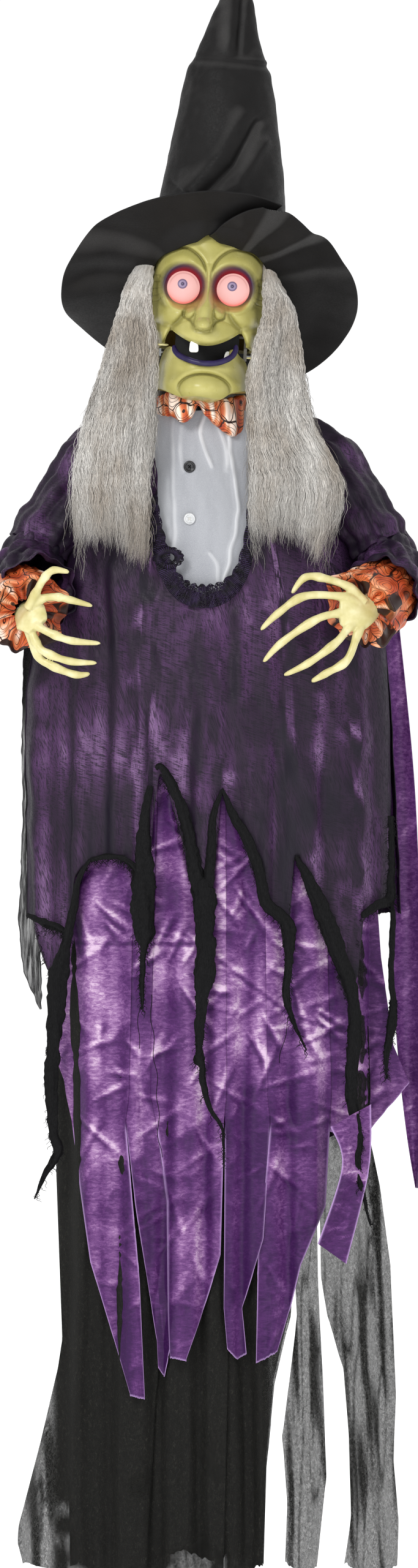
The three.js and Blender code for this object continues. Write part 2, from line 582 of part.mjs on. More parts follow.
function hat() {
  // Each ring of the crown: [centre, half width, half depth, tilt in degrees], from the brim's hole to the tip.
  const rings = [
    [[0, 0, 0], 70.5, 98.5, 38],
    [[4, 2, 48], 75, 88, 26],
    [[9, 3, 102], 72, 73, 14],
    [[9, -2, 184], 59, 55, 5],
    [[8, -7, 256], 46, 37, 0],
    [[10, -7, 294], 31, 26, 0],
    [[12, -7, 325], 19, 16, 0],
    [[13, -6, 373], 4, 4, 0],
  ];
  const crown = (inset) => {
    const place = (v) => {
      const [centre, halfX, halfSlope, tilt] = rings[Math.round((0.5 + v.y) * (rings.length - 1))];
      const length = Math.hypot(v.x, v.z);
      if (length < 1e-6) return new THREE.Vector3(...centre);
      const angle = Math.atan2(v.z, v.x);
      return hatRing(angle, centre, halfX - inset, halfSlope - inset, tilt * DEG);
    };
    return solidOf(mapped(new THREE.CylinderGeometry(1, 1, 1, 18, rings.length - 1), place));
  };
  const slack = { from: inHead(0, 0, -90), radius: 7 };
  const buttonhole = rod("z", 100, 330, [slack.from.x, slack.from.y], slack.radius, 12);
  const mouth = crown(CLOTH).translate([0, 0, -CLOTH]);
  add(head, "hat_crown", "hat_cloth", cut(crown(0), mouth, buttonhole.intersect(block(-99, 99, 20, 99, 90, 330))));

  const { tilt, holeX, holeSlope, outerX, outerSlope } = BRIM;
  const wave = (angle) => 7 * Math.sin(3 * angle + 0.6);
  const brimProfile = [[0, 0], [0.5, 0], [1, 0], [1, 1], [0.5, 1], [0, 1], [0, 0]].map((p) => new THREE.Vector2(p[0] + 1, p[1]));
  const place = (v) => {
    const length = Math.hypot(v.x, v.z);
    const out = length - 1;
    const angle = Math.atan2(v.z, v.x);
    const halfX = THREE.MathUtils.lerp(holeX, outerX, out);
    const halfSlope = THREE.MathUtils.lerp(holeSlope, outerSlope, out);
    const point = hatRing(angle, [0, 0, 0], halfX, halfSlope, tilt);
    const lift = wave(angle) * out * out + (v.y > 0.5 ? 0 : -CLOTH) - GAP;
    return point.add(new THREE.Vector3(0, Math.sin(tilt) * lift, Math.cos(tilt) * lift));
  };
  add(head, "hat_brim", "hat_cloth", solidOf(mapped(new THREE.LatheGeometry(brimProfile, 30), place)));
}

function hair() {
  // Each hank: centre and half width, from the temple down to its end on the chest.
  const hanks = {
    right: [[-75, -103, -232, 9], [-83, -102, -280, 17], [-89, -103, -336, 27], [-97, -106, -387, 36],
      [-108, -111, -451, 43], [-109, -112, -502, 43], [-107, -111, -546, 33]],
    left: [[68, -103, -240, 7], [77, -102, -280, 19], [76, -103, -336, 27], [80, -106, -387, 32],
      [93, -111, -433, 43], [95, -113, -478, 49], [94, -112, -546, 36]],
  };
  for (const [name, rows] of Object.entries(hanks)) {
    const last = rows.length - 1;
    const halfWidth = graph(...rows.map((row, i) => [i / last, row[3]]));
    const thickness = graph([0, 7], [0.3, 11], [0.6, 14], [0.9, 13], [1, 8]);
    const curve = curveThrough(rows.map((row) => row.slice(0, 3)));
    const back = new THREE.Vector3(0, 1, 0);
    add(root, `hair_hank_${name}`, "hair", limb(curve, halfWidth, thickness, 12, 9, back));
  }
  // The hair over the nape hangs as one curved sheet behind the head, outside the robe's back.
  const sheet = (v) => {
    const z = THREE.MathUtils.lerp(-545, -338, 0.5 + v.z);
    const proud = v.y > 0 ? 12 : 4;
    const clear = z < -395;
    const spread = Math.max(78, clear ? robeHalfWidth(z) : 0) + proud;
    const depth = Math.max(62, clear ? robeHalfDepth(z) : 0) + proud;
    const angle = v.x * Math.PI * 0.7;
    return new THREE.Vector3(Math.sin(angle) * spread, BODY_Y + Math.cos(angle) * depth, z);
  };
  add(root, "hair_nape", "hair", solidOf(mapped(new THREE.BoxGeometry(1, 1, 1, 10, 1, 8), sheet)));
}

// ---- Costume ---------------------------------------------------------------------------------------------

const robeHalfWidth = graph([-1280, 214], [-1000, 200], [-800, 197], [-700, 190], [-620, 172], [-560, 146],
  [-500, 130], [-440, 122], [-414, 116], [-398, 104]);
const robeHalfDepth = graph([-1280, 104], [-1000, 96], [-800, 92], [-600, 84], [-500, 76], [-440, 62],
  [-414, 44], [-398, 24]);
const skirtHalfWidth = graph([-1703, 214], [-1500, 190], [-1300, 178], [-1000, 180], [-800, 178], [-620, 150],
  [-500, 110], [-440, 100], [-420, 92]);

// Half the width of the seam left open at the body's sides, wide enough for the shoulder bar to pass.
const seam = graph([-500, 4], [-446, 12]);

// A panel of cloth on the body's oval. Its edges are lists of [across, height], where across runs from 0 to 1
// from the figure's right to its left on the front, and back again behind. The hem's list sets the columns.
function panel({ front, top, hem, halfWidth, halfDepth, rows }) {
  const topEdge = graph(...top);
  const columns = [...new Set([...hem, ...top].map(([across]) => across))].sort((a, b) => a - b);
  const hemEdge = graph(...hem);
  const place = (v) => {
    const across = columns[Math.round((0.5 + v.x) * (columns.length - 1))];
    const down = (0.5 - v.z) ** 1.7;
    const z = THREE.MathUtils.lerp(topEdge(across), hemEdge(across), down);
    const margin = Math.asin(seam(z) / halfDepth(z)) / Math.PI;
    const angle = (front ? Math.PI : 0) + Math.PI * THREE.MathUtils.lerp(margin, 1 - margin, across);
    const inset = v.y > 0 ? CLOTH : 0;
    return new THREE.Vector3(
      Math.cos(angle) * (halfWidth(z) - inset),
      BODY_Y + Math.sin(angle) * (halfDepth(z) - inset),
      z,
    );
  };
  return solidOf(mapped(new THREE.BoxGeometry(1, 1, 1, columns.length - 1, 1, rows), place));
}

const less = (shape, amount) => (z) => shape(z) - amount;

function costumeBody() {
  const robe = { halfWidth: robeHalfWidth, halfDepth: robeHalfDepth, rows: 7 };
  const shoulder = -400;
  // A deep U is cut in the front for the shirt.
  const neckline = [[0, shoulder - 8], [0.16, shoulder], [0.2, -412], [0.29, -420], [0.32, -460],
    [0.365, -545], [0.42, -575], [0.48, -584], [0.55, -578], [0.61, -545], [0.65, -460], [0.69, -424],
    [0.8, -412], [0.84, shoulder], [1, shoulder - 8]];
  const robeHem = [[0, -960], [0.06, -1000], [0.1, -1290], [0.13, -1100], [0.155, -900], [0.21, -890],
    [0.3, -893], [0.335, -1010], [0.36, -905], [0.405, -790], [0.455, -930], [0.472, -1194], [0.5, -930],
    [0.535, -812], [0.61, -940], [0.65, -1090], [0.69, -886], [0.77, -1000], [0.815, -1330], [0.85, -950],
    [0.93, -940], [0.955, -1120], [1, -830]];
  add(root, "robe_front", "robe_cloth", panel({ ...robe, front: true, top: neckline, hem: robeHem }));
  const nape = [[0, shoulder - 8], [0.2, shoulder], [0.28, -416], [0.72, -416], [0.8, shoulder], [1, shoulder - 8]];
  const backHem = [[0, -830], [0.1, -1150], [0.2, -900], [0.35, -1180], [0.5, -900], [0.65, -1200],
    [0.8, -900], [0.9, -1150], [1, -960]];
  add(root, "robe_back", "robe_cloth", panel({ ...robe, front: false, top: nape, hem: backHem }));

  const satin = { halfWidth: less(skirtHalfWidth, -2), halfDepth: less(robeHalfDepth, 9), rows: 5 };
  const waist = [[0, -612], [1, -612]];
  const satinHem = [[0, -1180], [0.05, -1240], [0.1, -1320], [0.15, -1400], [0.21, -1450], [0.27, -1495],
    [0.3, -1200], [0.36, -1470],
    [0.4, -1250], [0.44, -1450], [0.5, -1447], [0.515, -1200], [0.57, -1444], [0.62, -1200], [0.66, -1457],
    [0.72, -1180], [0.78, -1260], [0.84, -1342], [0.92, -1240], [1, -1150]];
  const satinFront = { ...satin, front: true, top: waist, hem: satinHem };
  add(root, "satin_skirt_front", "satin", panel(satinFront));
  const satinBackHem = [[0, -1150], [0.12, -1420], [0.25, -1180], [0.4, -1460], [0.5, -1180], [0.62, -1450],
    [0.75, -1180], [0.88, -1400], [1, -1180]];
  add(root, "satin_skirt_back", "satin", panel({ ...satin, front: false, top: waist, hem: satinBackHem }));

  const black = { halfWidth: less(skirtHalfWidth, 9), halfDepth: less(robeHalfDepth, 20), rows: 6 };
  const blackHem = [[0, -1690], [0.1, -1670], [0.2, -1703], [0.3, -1690], [0.4, -1703], [0.5, -1690],
    [0.6, -1703], [0.665, -1700], [0.672, -1390], [0.7, -1390], [0.707, -1700], [0.8, -1703], [0.807, -1360],
    [0.83, -1360], [0.837, -1703], [0.92, -1690], [1, -1700]];
  const blackFront = { ...black, front: true, top: waist, hem: blackHem };
  add(root, "black_skirt_front", "gauze", panel(blackFront));
  const blackBackHem = [[0, -1700], [0.12, -1680], [0.25, -1664], [0.38, -1690], [0.5, -1700], [0.62, -1680],
    [0.75, -1656], [0.88, -1680], [1, -1690]];
  add(root, "black_skirt_back", "gauze", panel({ ...black, front: false, top: waist, hem: blackBackHem }));
}

function shirtAndTrim() {
  const shirtInset = 8.5;
  const place = (v) => {
    const z = THREE.MathUtils.lerp(-602, -418, 0.5 + v.z);
    const x = -6 + v.x * 134 * (z > -430 ? 0.9 : 1);
    const depth = robeHalfDepth(z) - shirtInset + (v.y > 0 ? -CLOTH : 0);
    return new THREE.Vector3(x, BODY_Y - depth * Math.sqrt(1 - (x / robeHalfWidth(z)) ** 2), z);
  };
  add(root, "shirt_front", "shirt_cloth", solidOf(mapped(new THREE.BoxGeometry(1, 1, 1, 8, 1, 7), place)));
  for (const [name, z] of [["upper", -446], ["lower", -505]]) {
    const face = BODY_Y - (robeHalfDepth(z) - shirtInset) - 0.6;
    add(root, `${name}_shirt_button`, "black_plastic", rod("y", face - 2.6, face, [-22, z], 6.6, 14));
  }

  // The lace edging follows the neckline, standing a little off the robe.
  const edge = curveThrough([[-59, 0, -428], [-58, 0, -480], [-52, 0, -545], [-30, 0, -590], [-4, 0, -598],
    [24, 0, -588], [42, 0, -545], [50, 0, -480], [52, 0, -436]]);
  const halfLace = graph([0, 5], [0.3, 9], [0.5, 12], [0.7, 8], [1, 5]);
  const trim = (v) => {
    const along = 0.5 + v.x;
    const point = besideCurve(edge, along, v.z * 2 * halfLace(along), 0, new THREE.Vector3(0, 1, 0));
    const proud = v.y > 0 ? 2.4 : 4.8;
    const depth = (robeHalfDepth(point.z) + proud) * Math.sqrt(1 - (point.x / robeHalfWidth(point.z)) ** 2);
    return point.setY(BODY_Y - depth);
  };
  add(root, "neckline_lace", "lace", solidOf(mapped(new THREE.BoxGeometry(1, 1, 1, 22, 1, 1), trim)));

  // The ruffle circles the neck under the chin, and rises at the sides of the jaw.
  const ruffleProfile = [[30, 0], [53, 0], [56, 0.5], [53, 1], [30, 1], [30, 0]];
  const ruffle = (v) => {
    const radius = Math.hypot(v.x, v.z);
    const angle = Math.atan2(v.z, v.x);
    const side = Math.abs(Math.cos(angle)) > 0.93 ? 10 : 0;
    const pleat = 1 + 0.03 * Math.sin(9 * angle) * (radius > 40 ? 1 : 0);
    const z = v.y > 0.75 ? -389 + side : THREE.MathUtils.lerp(-410.5, -389, v.y);
    return new THREE.Vector3(NECK.x + v.x * pleat, -32 + v.z * pleat, z);
  };
  const ruffleCorners = ruffleProfile.map((point) => new THREE.Vector2(...point));
  add(root, "neck_ruffle", "web_print", solidOf(mapped(new THREE.LatheGeometry(ruffleCorners, 28), ruffle)));
}

// Two lengths of cloth hang free at the sides: gauze at the figure's right, and satin at its left.
function sideDrapes() {
  const drape = (rows, thickness) => {
    const last = rows.length - 1;
    const halfWidth = graph(...rows.map((row, i) => [i / last, row[3]]));
    const curve = curveThrough(rows.map((row) => row.slice(0, 3)));
    const place = (v) => besideCurve(curve, 0.5 - v.z, v.x * 2 * halfWidth(0.5 - v.z), v.y * thickness, new THREE.Vector3(0, 1, 0));
    return solidOf(mapped(new THREE.BoxGeometry(1, 1, 1, 1, 1, 8), place));
  };
  const gauze = [[-206, -14, -640, 9], [-207, -14, -800, 10], [-210, -14, -900, 9], [-214, -14, -1000, 9], [-212, -14, -1058, 3]];
  add(root, "side_drape_right", "gauze", drape(gauze, CLOTH));
  const satin = [[222, -4, -660, 8], [222, -4, -820, 12], [224, -4, -1000, 12], [230, -4, -1120, 10], [234, -4, -1246, 2]];
  add(root, "side_drape_left", "satin", drape(satin, CLOTH));
}

// ---- Assembly --------------------------------------------------------------------------------------------

headShells();
eyes();
mouthParts();
jawParts();
jawDrive();
hangingEye();
neckAndBar();
controlBox();
add(root, "wiring_loom", "black_plastic", wiringLoom());
arms();
hat();
hair();
costumeBody();
shirtAndTrim();
sideDrapes();

export default root;
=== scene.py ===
"""Looks for the hanging animated witch figure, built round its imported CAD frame.

Shapes are worked out in millimetres and turned into metres when a mesh is made. The head's pieces are shaped
in the head's own frame, which stands at eye level and leans sideways about the neck, as in the CAD.
"""

import json
import math

import bmesh
import bpy
import numpy as np
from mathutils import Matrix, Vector


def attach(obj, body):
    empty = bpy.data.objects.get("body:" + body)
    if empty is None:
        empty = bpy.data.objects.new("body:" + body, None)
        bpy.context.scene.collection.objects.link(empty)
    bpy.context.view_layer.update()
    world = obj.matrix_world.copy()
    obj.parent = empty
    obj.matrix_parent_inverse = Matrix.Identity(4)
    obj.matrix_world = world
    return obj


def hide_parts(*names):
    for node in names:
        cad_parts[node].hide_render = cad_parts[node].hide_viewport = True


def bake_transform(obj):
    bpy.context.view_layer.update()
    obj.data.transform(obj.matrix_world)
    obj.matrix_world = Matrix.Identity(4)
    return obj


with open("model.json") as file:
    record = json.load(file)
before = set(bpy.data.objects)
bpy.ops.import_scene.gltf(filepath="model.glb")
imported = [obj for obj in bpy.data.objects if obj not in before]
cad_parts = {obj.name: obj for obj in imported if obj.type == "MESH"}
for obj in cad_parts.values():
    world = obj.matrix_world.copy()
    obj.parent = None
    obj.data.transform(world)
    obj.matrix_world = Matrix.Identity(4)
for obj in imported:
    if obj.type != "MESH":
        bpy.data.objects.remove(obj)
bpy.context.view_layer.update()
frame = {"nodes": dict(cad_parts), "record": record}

MM = 0.001
NECK = np.array((-8.0, -45.0, -418.0))
EYES_ABOVE_NECK = 172.0
HEAD_LEAN = math.radians(3)
BODY_Y = -20.0
SIDES = {"left": 1, "right": -1}
FACE_X = -1.8
FACE_TOP = 74.0
FACE_THICKNESS = 2.2
MOUTH_X = -2.0
EYE_X = 28.0
EYE_Y = -62.0
EYE_RADIUS = 18.5
EYE_HOLE = 17.4
PUPIL_RADIUS = 5.6
BRIM_SLOPE = 38
ROBE_THICKNESS = 1.0
ROBE_OVERLAP = 0.03
SATIN_THICKNESS = 0.7
LINER_THICKNESS = 0.7
WAIST = -640


# ---- Numbers and noise -----------------------------------------------------------------------------------

LATTICE = np.random.default_rng(11).uniform(-1, 1, (48, 48, 48))


def noise(points, size, octaves=3, seed=0.0):
    """Smooth noise between about -1 and 1 at points in millimetres, with features of that size."""
    q = np.asarray(points, float) / size + seed * 7.31
    total, share, weight = 0.0, 1.0, 0.0
    for _ in range(octaves):
        cell = np.floor(q).astype(int)
        f = q - cell
        f = f * f * (3 - 2 * f)
        value = 0.0
        for corner in np.ndindex(2, 2, 2):
            at = (cell + corner) % 48
            w = np.prod(np.where(corner, f, 1 - f), axis=-1)
            value = value + LATTICE[at[..., 0], at[..., 1], at[..., 2]] * w
        total, weight = total + value * share, weight + share
        share, q = share * 0.5, q * 2.03 + 5.7
    return total / weight


def flat_noise(x, z, size, octaves=3, seed=0.0, layer=0.0):
    """Noise over a sheet, from how far across it and how far down it each point is."""
    return noise(np.stack([x, 0 * x + layer, z], -1), size, octaves, seed)


def graph(*pairs):
    """A function with straight lines between (input, output) pairs, held level past both ends."""
    xs, ys = zip(*sorted(pairs))
    return lambda x: np.interp(x, xs, ys)


def soft_graph(*pairs, blur=5.0):
    """The same with its corners rounded over about that many units of input."""
    plain = graph(*pairs)
    taps = np.linspace(-1, 1, 7) * blur
    return lambda x: sum(plain(np.asarray(x, float) + t) for t in taps) / len(taps)


def step(low, high, x):
    """Smoothly from 0 at low to 1 at high."""
    t = np.clip((np.asarray(x, float) - low) / (high - low), 0, 1)
    return t * t * (3 - 2 * t)


def bell(x):
    return np.exp(-np.square(x))


def along(points, t):
    """Points at 0..1 on a smooth curve through the given ones, which may carry widths as extra columns."""
    p = np.asarray(points, float)
    n = len(p) - 1
    s = np.clip(np.asarray(t, float), 0, 1) * n
    i = np.minimum(s.astype(int), n - 1)
    f = (s - i)[..., None]
    p0, p1, p2, p3 = p[np.maximum(i - 1, 0)], p[i], p[i + 1], p[np.minimum(i + 2, n)]
    return 0.5 * (2 * p1 + (p2 - p0) * f + (2 * p0 - 5 * p1 + 4 * p2 - p3) * f**2
                  + (3 * p1 - p0 - 3 * p2 + p3) * f**3)


def line_distance(x, z, points):
    """How far points (x, z) are from a line through the given ones."""
    best = np.full(np.shape(x), 1e9)
    for (ax, az), (bx, bz) in zip(points[:-1], points[1:]):
        dx, dz = bx - ax, bz - az
        t = np.clip(((x - ax) * dx + (z - az) * dz) / (dx * dx + dz * dz), 0, 1)
        best = np.minimum(best, np.hypot(x - ax - t * dx, z - az - t * dz))
    return best


def from_head(points):
    """Points of the head's frame in the figure's frame."""
    x, y, z = points[..., 0], points[..., 1], points[..., 2] + EYES_ABOVE_NECK
    c, s = math.cos(HEAD_LEAN), math.sin(HEAD_LEAN)
    return np.stack([NECK[0] + x * c + z * s, NECK[1] + y, NECK[2] - x * s + z * c], -1)


def slopes(height, x, z):
    """How steeply a grid's height rises towards +X and +Z, on rows that run down and columns across."""
    across = np.gradient(x, axis=1)
    down = np.gradient(z, axis=0)
    across = np.where(np.abs(across) < 1e-4, 1e-4, across)
    down = np.where(np.abs(down) < 1e-4, -1e-4, down)
    return np.gradient(height, axis=1) / across, np.gradient(height, axis=0) / down


def sheen(height, x, z, gain=1.0, middle=0.5):
    """0..1: how much of a soft light above and to the left the slopes of a draped sheet throw back."""
    rise_x, rise_z = slopes(height, x, z)
    return np.clip(middle + gain * (0.8 * rise_z - 0.75 * rise_x), 0, 1)


def crumple(x, z, seed, size=1.0,
            layers=((66, 8.0, 0.45, 0.75), (31, 3.4, -0.6, 1.4), (14, 1.2, 0.15, 1.8))):
    """The crisp creases of cloth that was packed flat: facets that meet in sharp lines.

    Each layer is (feature size, depth, lean, squash).
    """
    height = 0.0
    for scale, depth, lean, squash in layers:
        c, s = math.cos(lean), math.sin(lean)
        down = (z * c - x * s) * squash
        height = height + depth * np.abs(flat_noise(x * c + z * s, down, scale * size, 1, seed, seed * 17))
    return height


def broad_crumple(x, z, seed):
    """The large facets alone."""
    return crumple(x, z, seed, layers=((70, 8.0, 0.45, 0.8), (33, 3.2, -0.6, 1.3)))


def blurred(values, rows, columns):
    """A grid's values averaged over that many rows and columns either side."""
    for axis, reach in ((0, rows), (1, columns)):
        pads = [(reach + 1, reach) if a == axis else (0, 0) for a in (0, 1)]
        total = np.cumsum(np.pad(values, pads, mode="edge"), axis=axis)
        size = values.shape[axis]
        ahead = np.take(total, np.arange(2 * reach + 1, 2 * reach + 1 + size), axis)
        values = (ahead - np.take(total, np.arange(size), axis)) / (2 * reach + 1)
    return values


def full_turn(count):
    """Evenly spaced angles all the way round, along a grid's columns."""
    return np.linspace(0, 2 * np.pi, count, endpoint=False)[None, :]


def painted(first, second=None, third=None):
    """The paint of a mesh's points: up to three values that its material reads."""
    none = 0 * first
    return np.stack([first, none if second is None else second, none if third is None else third], -1)


# ---- Meshes ----------------------------------------------------------------------------------------------


def make_mesh(name, points, faces, material, smooth=True, uv=None, paint=None):
    """A mesh object from points in millimetres and faces of three or four corners."""
    mesh = bpy.data.meshes.new(name)
    faces = [np.asarray(f, np.int32) for f in (faces if isinstance(faces, list) else [faces]) if len(f)]
    sizes = np.concatenate([np.full(len(f), f.shape[1]) for f in faces])
    corners = np.concatenate([f.ravel() for f in faces])
    mesh.vertices.add(len(points))
    mesh.vertices.foreach_set("co", (np.asarray(points, float) * MM).ravel())
    mesh.loops.add(len(corners))
    mesh.loops.foreach_set("vertex_index", corners)
    mesh.polygons.add(len(sizes))
    mesh.polygons.foreach_set("loop_start", np.concatenate([[0], np.cumsum(sizes)[:-1]]).astype(np.int32))
    mesh.polygons.foreach_set("use_smooth", np.full(len(sizes), smooth))
    mesh.update(calc_edges=True)
    if uv is not None:
        layer = mesh.uv_layers.new(name="UVMap")
        layer.data.foreach_set("uv", np.asarray(uv, np.float32)[corners].ravel())
    if paint is not None:
        layer = mesh.attributes.new("paint", "FLOAT_COLOR", "POINT")
        rgba = np.concatenate([paint, np.ones((len(paint), 1))], 1)
        layer.data.foreach_set("color", rgba.astype(np.float32).ravel())
    mesh.materials.append(material)
    piece = bpy.data.objects.new(name, mesh)
    bpy.context.scene.collection.objects.link(piece)
    return piece


def grid_faces(rows, columns, wrap=False, start=0):
    index = np.arange(rows * columns).reshape(rows, columns) + start
    right = np.roll(index, -1, 1) if wrap else index[:, 1:]
    left = index if wrap else index[:, :-1]
    return np.stack([left[:-1], right[:-1], right[1:], left[1:]], -1).reshape(-1, 4)


def grid_normals(points, wrap=False):
    """Unit normals of a grid of points, down the rows cross along the columns."""
    if wrap:
        across = np.roll(points, -1, 1) - np.roll(points, 1, 1)
    else:
        across = np.gradient(points, axis=1)
    normal = np.cross(np.gradient(points, axis=0), across)
    return normal / np.maximum(np.linalg.norm(normal, axis=-1, keepdims=True), 1e-9)


def shell(points, thickness, wrap=False, keep=None):
    """A closed sheet: the grid's surface, the same set back by thickness, and walls round its edges."""
    rows, columns = points.shape[:2]
    faces = grid_faces(rows, columns, wrap)
    if keep is not None:
        faces = faces[keep.ravel()[faces].all(1)]
    back = points - grid_normals(points, wrap) * np.asarray(thickness, float)[..., None]
    count = rows * columns
    edges = np.stack([faces, np.roll(faces, -1, 1)], -1).reshape(-1, 2)
    key, other = edges[:, 0] * count + edges[:, 1], edges[:, 1] * count + edges[:, 0]
    rim = edges[~np.isin(key, other)]
    walls = np.stack([rim[:, 1], rim[:, 0], rim[:, 0] + count, rim[:, 1] + count], 1)
    everything = np.concatenate([points.reshape(-1, 3), back.reshape(-1, 3)])
    return everything, np.concatenate([faces, faces[:, ::-1] + count, walls])


def drop_unused(points, faces, *extras):
    used = np.unique(faces)
    renumber = np.full(len(points), -1)
    renumber[used] = np.arange(len(used))
    return (points[used], renumber[faces], *[e[used] for e in extras])


def doubled(values, size):
    """A grid's values for its front and again for its back."""
    return np.concatenate([values.reshape(-1, size)] * 2)


def sheet_piece(name, points, thickness, material, wrap=False, keep=None, uv=None, paint=None):
    """A closed sheet as an object. uv and paint are given for the grid, and both sides get them."""
    verts, faces = shell(points, thickness, wrap, keep)
    extras = [doubled(uv, 2)] if uv is not None else []
    extras += [doubled(paint, 3)] if paint is not None else []
    verts, faces, *extras = drop_unused(verts, faces, *extras)
    uv = extras.pop(0) if uv is not None else None
    return make_mesh(name, verts, faces, material, uv=uv, paint=extras[0] if paint is not None else None)


def tube(points, radii, sides, flat=None, up=(0.0, 1.0, 0.0)):
    """Rings of points along a curve. flat squeezes each ring along its second axis."""
    p = np.asarray(points, float)
    tangent = np.gradient(p, axis=0)
    tangent /= np.linalg.norm(tangent, axis=1, keepdims=True)
    side = np.cross(np.broadcast_to(up, p.shape), tangent)
    side /= np.maximum(np.linalg.norm(side, axis=1, keepdims=True), 1e-9)
    other = np.cross(tangent, side)
    angle = np.broadcast_to(np.arange(sides) * 2 * np.pi / sides, (len(p), sides))
    a, b = np.cos(angle)[..., None], np.sin(angle)[..., None]
    wide = np.broadcast_to(radii, len(p))[:, None, None]
    thin = wide if flat is None else np.broadcast_to(flat, len(p))[:, None, None]
    return p[:, None] + a * wide * side[:, None] + b * thin * other[:, None]


def capped(rings):
    """A closed mesh from rings of points: its verts and faces, with a point closing each end."""
    rows, sides = rings.shape[:2]
    verts = np.concatenate([rings.reshape(-1, 3), rings[:1].mean(1), rings[-1:].mean(1)])
    first, last = rows * sides, rows * sides + 1
    i = np.arange(sides)
    j = (i + 1) % sides
    ends = np.concatenate([
        np.stack([j, i, np.full(sides, first)], 1),
        np.stack([i + first - sides, j + first - sides, np.full(sides, last)], 1),
    ])
    return verts, [grid_faces(rows, sides, wrap=True), ends]


def joined(parts):
    """Several (verts, faces) as one."""
    verts, quads, tris, start = [], [], [], 0
    for points, faces in parts:
        for f in faces if isinstance(faces, list) else [faces]:
            (quads if f.shape[1] == 4 else tris).append(f + start)
        verts.append(points)
        start += len(points)
    groups = [np.concatenate(g) for g in (quads, tris) if g]
    return np.concatenate(verts), groups


def outward(piece):
    """Turns a closed piece's faces outward."""
    mesh = bmesh.new()
    mesh.from_mesh(piece.data)
    bmesh.ops.recalc_face_normals(mesh, faces=mesh.faces)
    mesh.to_mesh(piece.data)
    mesh.free()
    return piece


def fuse(piece, voxel, smooth_steps):
    """Melts a piece's overlapping solids into one smooth skin."""
    bpy.context.view_layer.update()
    remesh = piece.modifiers.new("fuse", "REMESH")
    remesh.mode, remesh.voxel_size = "VOXEL", voxel * MM
    smooth = piece.modifiers.new("smooth", "SMOOTH")
    smooth.factor, smooth.iterations = 0.5, smooth_steps
    depsgraph = bpy.context.evaluated_depsgraph_get()
    mesh = bpy.data.meshes.new_from_object(piece.evaluated_get(depsgraph))
    piece.modifiers.clear()
    old, piece.data = piece.data, mesh
    bpy.data.meshes.remove(old)
    mesh.polygons.foreach_set("use_smooth", np.ones(len(mesh.polygons), bool))
    return piece


def finish_piece(piece, body, replaces=()):
    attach(piece, body)
    if replaces:
        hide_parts(*([replaces] if isinstance(replaces, str) else replaces))
    return piece


# ---- Materials -------------------------------------------------------------------------------------------


class Material:
    """A Principled material built node by node."""

    def __init__(self, name, **sockets):
        self.material = bpy.data.materials.new(name)
        self.material.use_nodes = True
        self.nodes = self.material.node_tree.nodes
        self.shader = self.nodes["Principled BSDF"]
        for key, value in sockets.items():
            self.shader.inputs[key.replace("_", " ")].default_value = value

    def node(self, kind, inputs=None, **settings):
        node = self.nodes.new(kind)
        for key, value in settings.items():
            setattr(node, key, value)
        for key, value in (inputs or {}).items():
            self.put(node.inputs[key], value)
        return node

    def put(self, socket, value):
        if isinstance(value, bpy.types.NodeSocket):
            self.material.node_tree.links.new(value, socket)
        else:
            socket.default_value = value

    def set(self, **sockets):
        for key, value in sockets.items():
            self.put(self.shader.inputs[key.replace("_", " ")], value)

    def place(self, scale=(1, 1, 1), source="Object", turn=(0, 0, 0)):
        """Texture coordinates in millimetres, or in UV units."""
        coords = self.node("ShaderNodeTexCoord")
        unit = 1000 if source == "Object" else 1
        mapping = self.node("ShaderNodeMapping", {
            "Vector": coords.outputs[source], "Scale": [s * unit for s in scale], "Rotation": turn})
        return mapping.outputs["Vector"]

    def noise(self, where, scale=1.0, detail=3.0, roughness=0.5, distortion=0.0):
        return self.node("ShaderNodeTexNoise", {
            "Vector": where, "Scale": scale, "Detail": detail, "Roughness": roughness,
            "Distortion": distortion,
        }).outputs["Fac"]

    def wave(self, where, scale=1.0, distortion=0.0, detail=0.0, detail_scale=1.0, direction="X",
             profile="SIN"):
        return self.node("ShaderNodeTexWave", {
            "Vector": where, "Scale": scale, "Distortion": distortion, "Detail": detail,
            "Detail Scale": detail_scale}, bands_direction=direction, wave_profile=profile).outputs["Fac"]

    def cells(self, where, scale=1.0, feature="DISTANCE_TO_EDGE", randomness=1.0):
        node = self.node("ShaderNodeTexVoronoi", {
            "Vector": where, "Scale": scale, "Randomness": randomness}, feature=feature)
        return node.outputs["Distance"]

    def math(self, operation, a, b=0.0, clamp=False):
        return self.node("ShaderNodeMath", {0: a, 1: b}, operation=operation, use_clamp=clamp).outputs[0]

    def ramp(self, value, *stops):
        """stops are (position, colour or grey level)."""
        node = self.node("ShaderNodeValToRGB", {"Fac": value})
        elements = node.color_ramp.elements
        for i, (position, colour) in enumerate(stops):
            element = elements[i] if i < 2 else elements.new(position)
            element.position = position
            element.color = (*colour, 1) if isinstance(colour, tuple) else (colour, colour, colour, 1)
        return node.outputs["Color"]

    def level(self, value, low, high, to_low=0.0, to_high=1.0):
        return self.node("ShaderNodeMapRange", {
            "Value": value, "From Min": low, "From Max": high, "To Min": to_low, "To Max": to_high,
        }).outputs["Result"]

    def mix(self, share, a, b, blend="MIX"):
        node = self.node("ShaderNodeMix", data_type="RGBA", blend_type=blend)
        self.put(node.inputs["Factor"], share)
        for socket, value in ((node.inputs[6], a), (node.inputs[7], b)):
            self.put(socket, (*value, 1) if isinstance(value, tuple) and len(value) == 3 else value)
        return node.outputs[2]

    def attribute(self, name="paint"):
        colour = self.node("ShaderNodeAttribute", attribute_name=name).outputs["Color"]
        return self.node("ShaderNodeSeparateColor", {"Color": colour}).outputs

    def bump(self, height, strength=0.3, distance=1.0, under=None):
        inputs = {"Height": height, "Strength": strength, "Distance": distance * MM}
        if under is not None:
            inputs["Normal"] = under
        return self.node("ShaderNodeBump", inputs).outputs["Normal"]


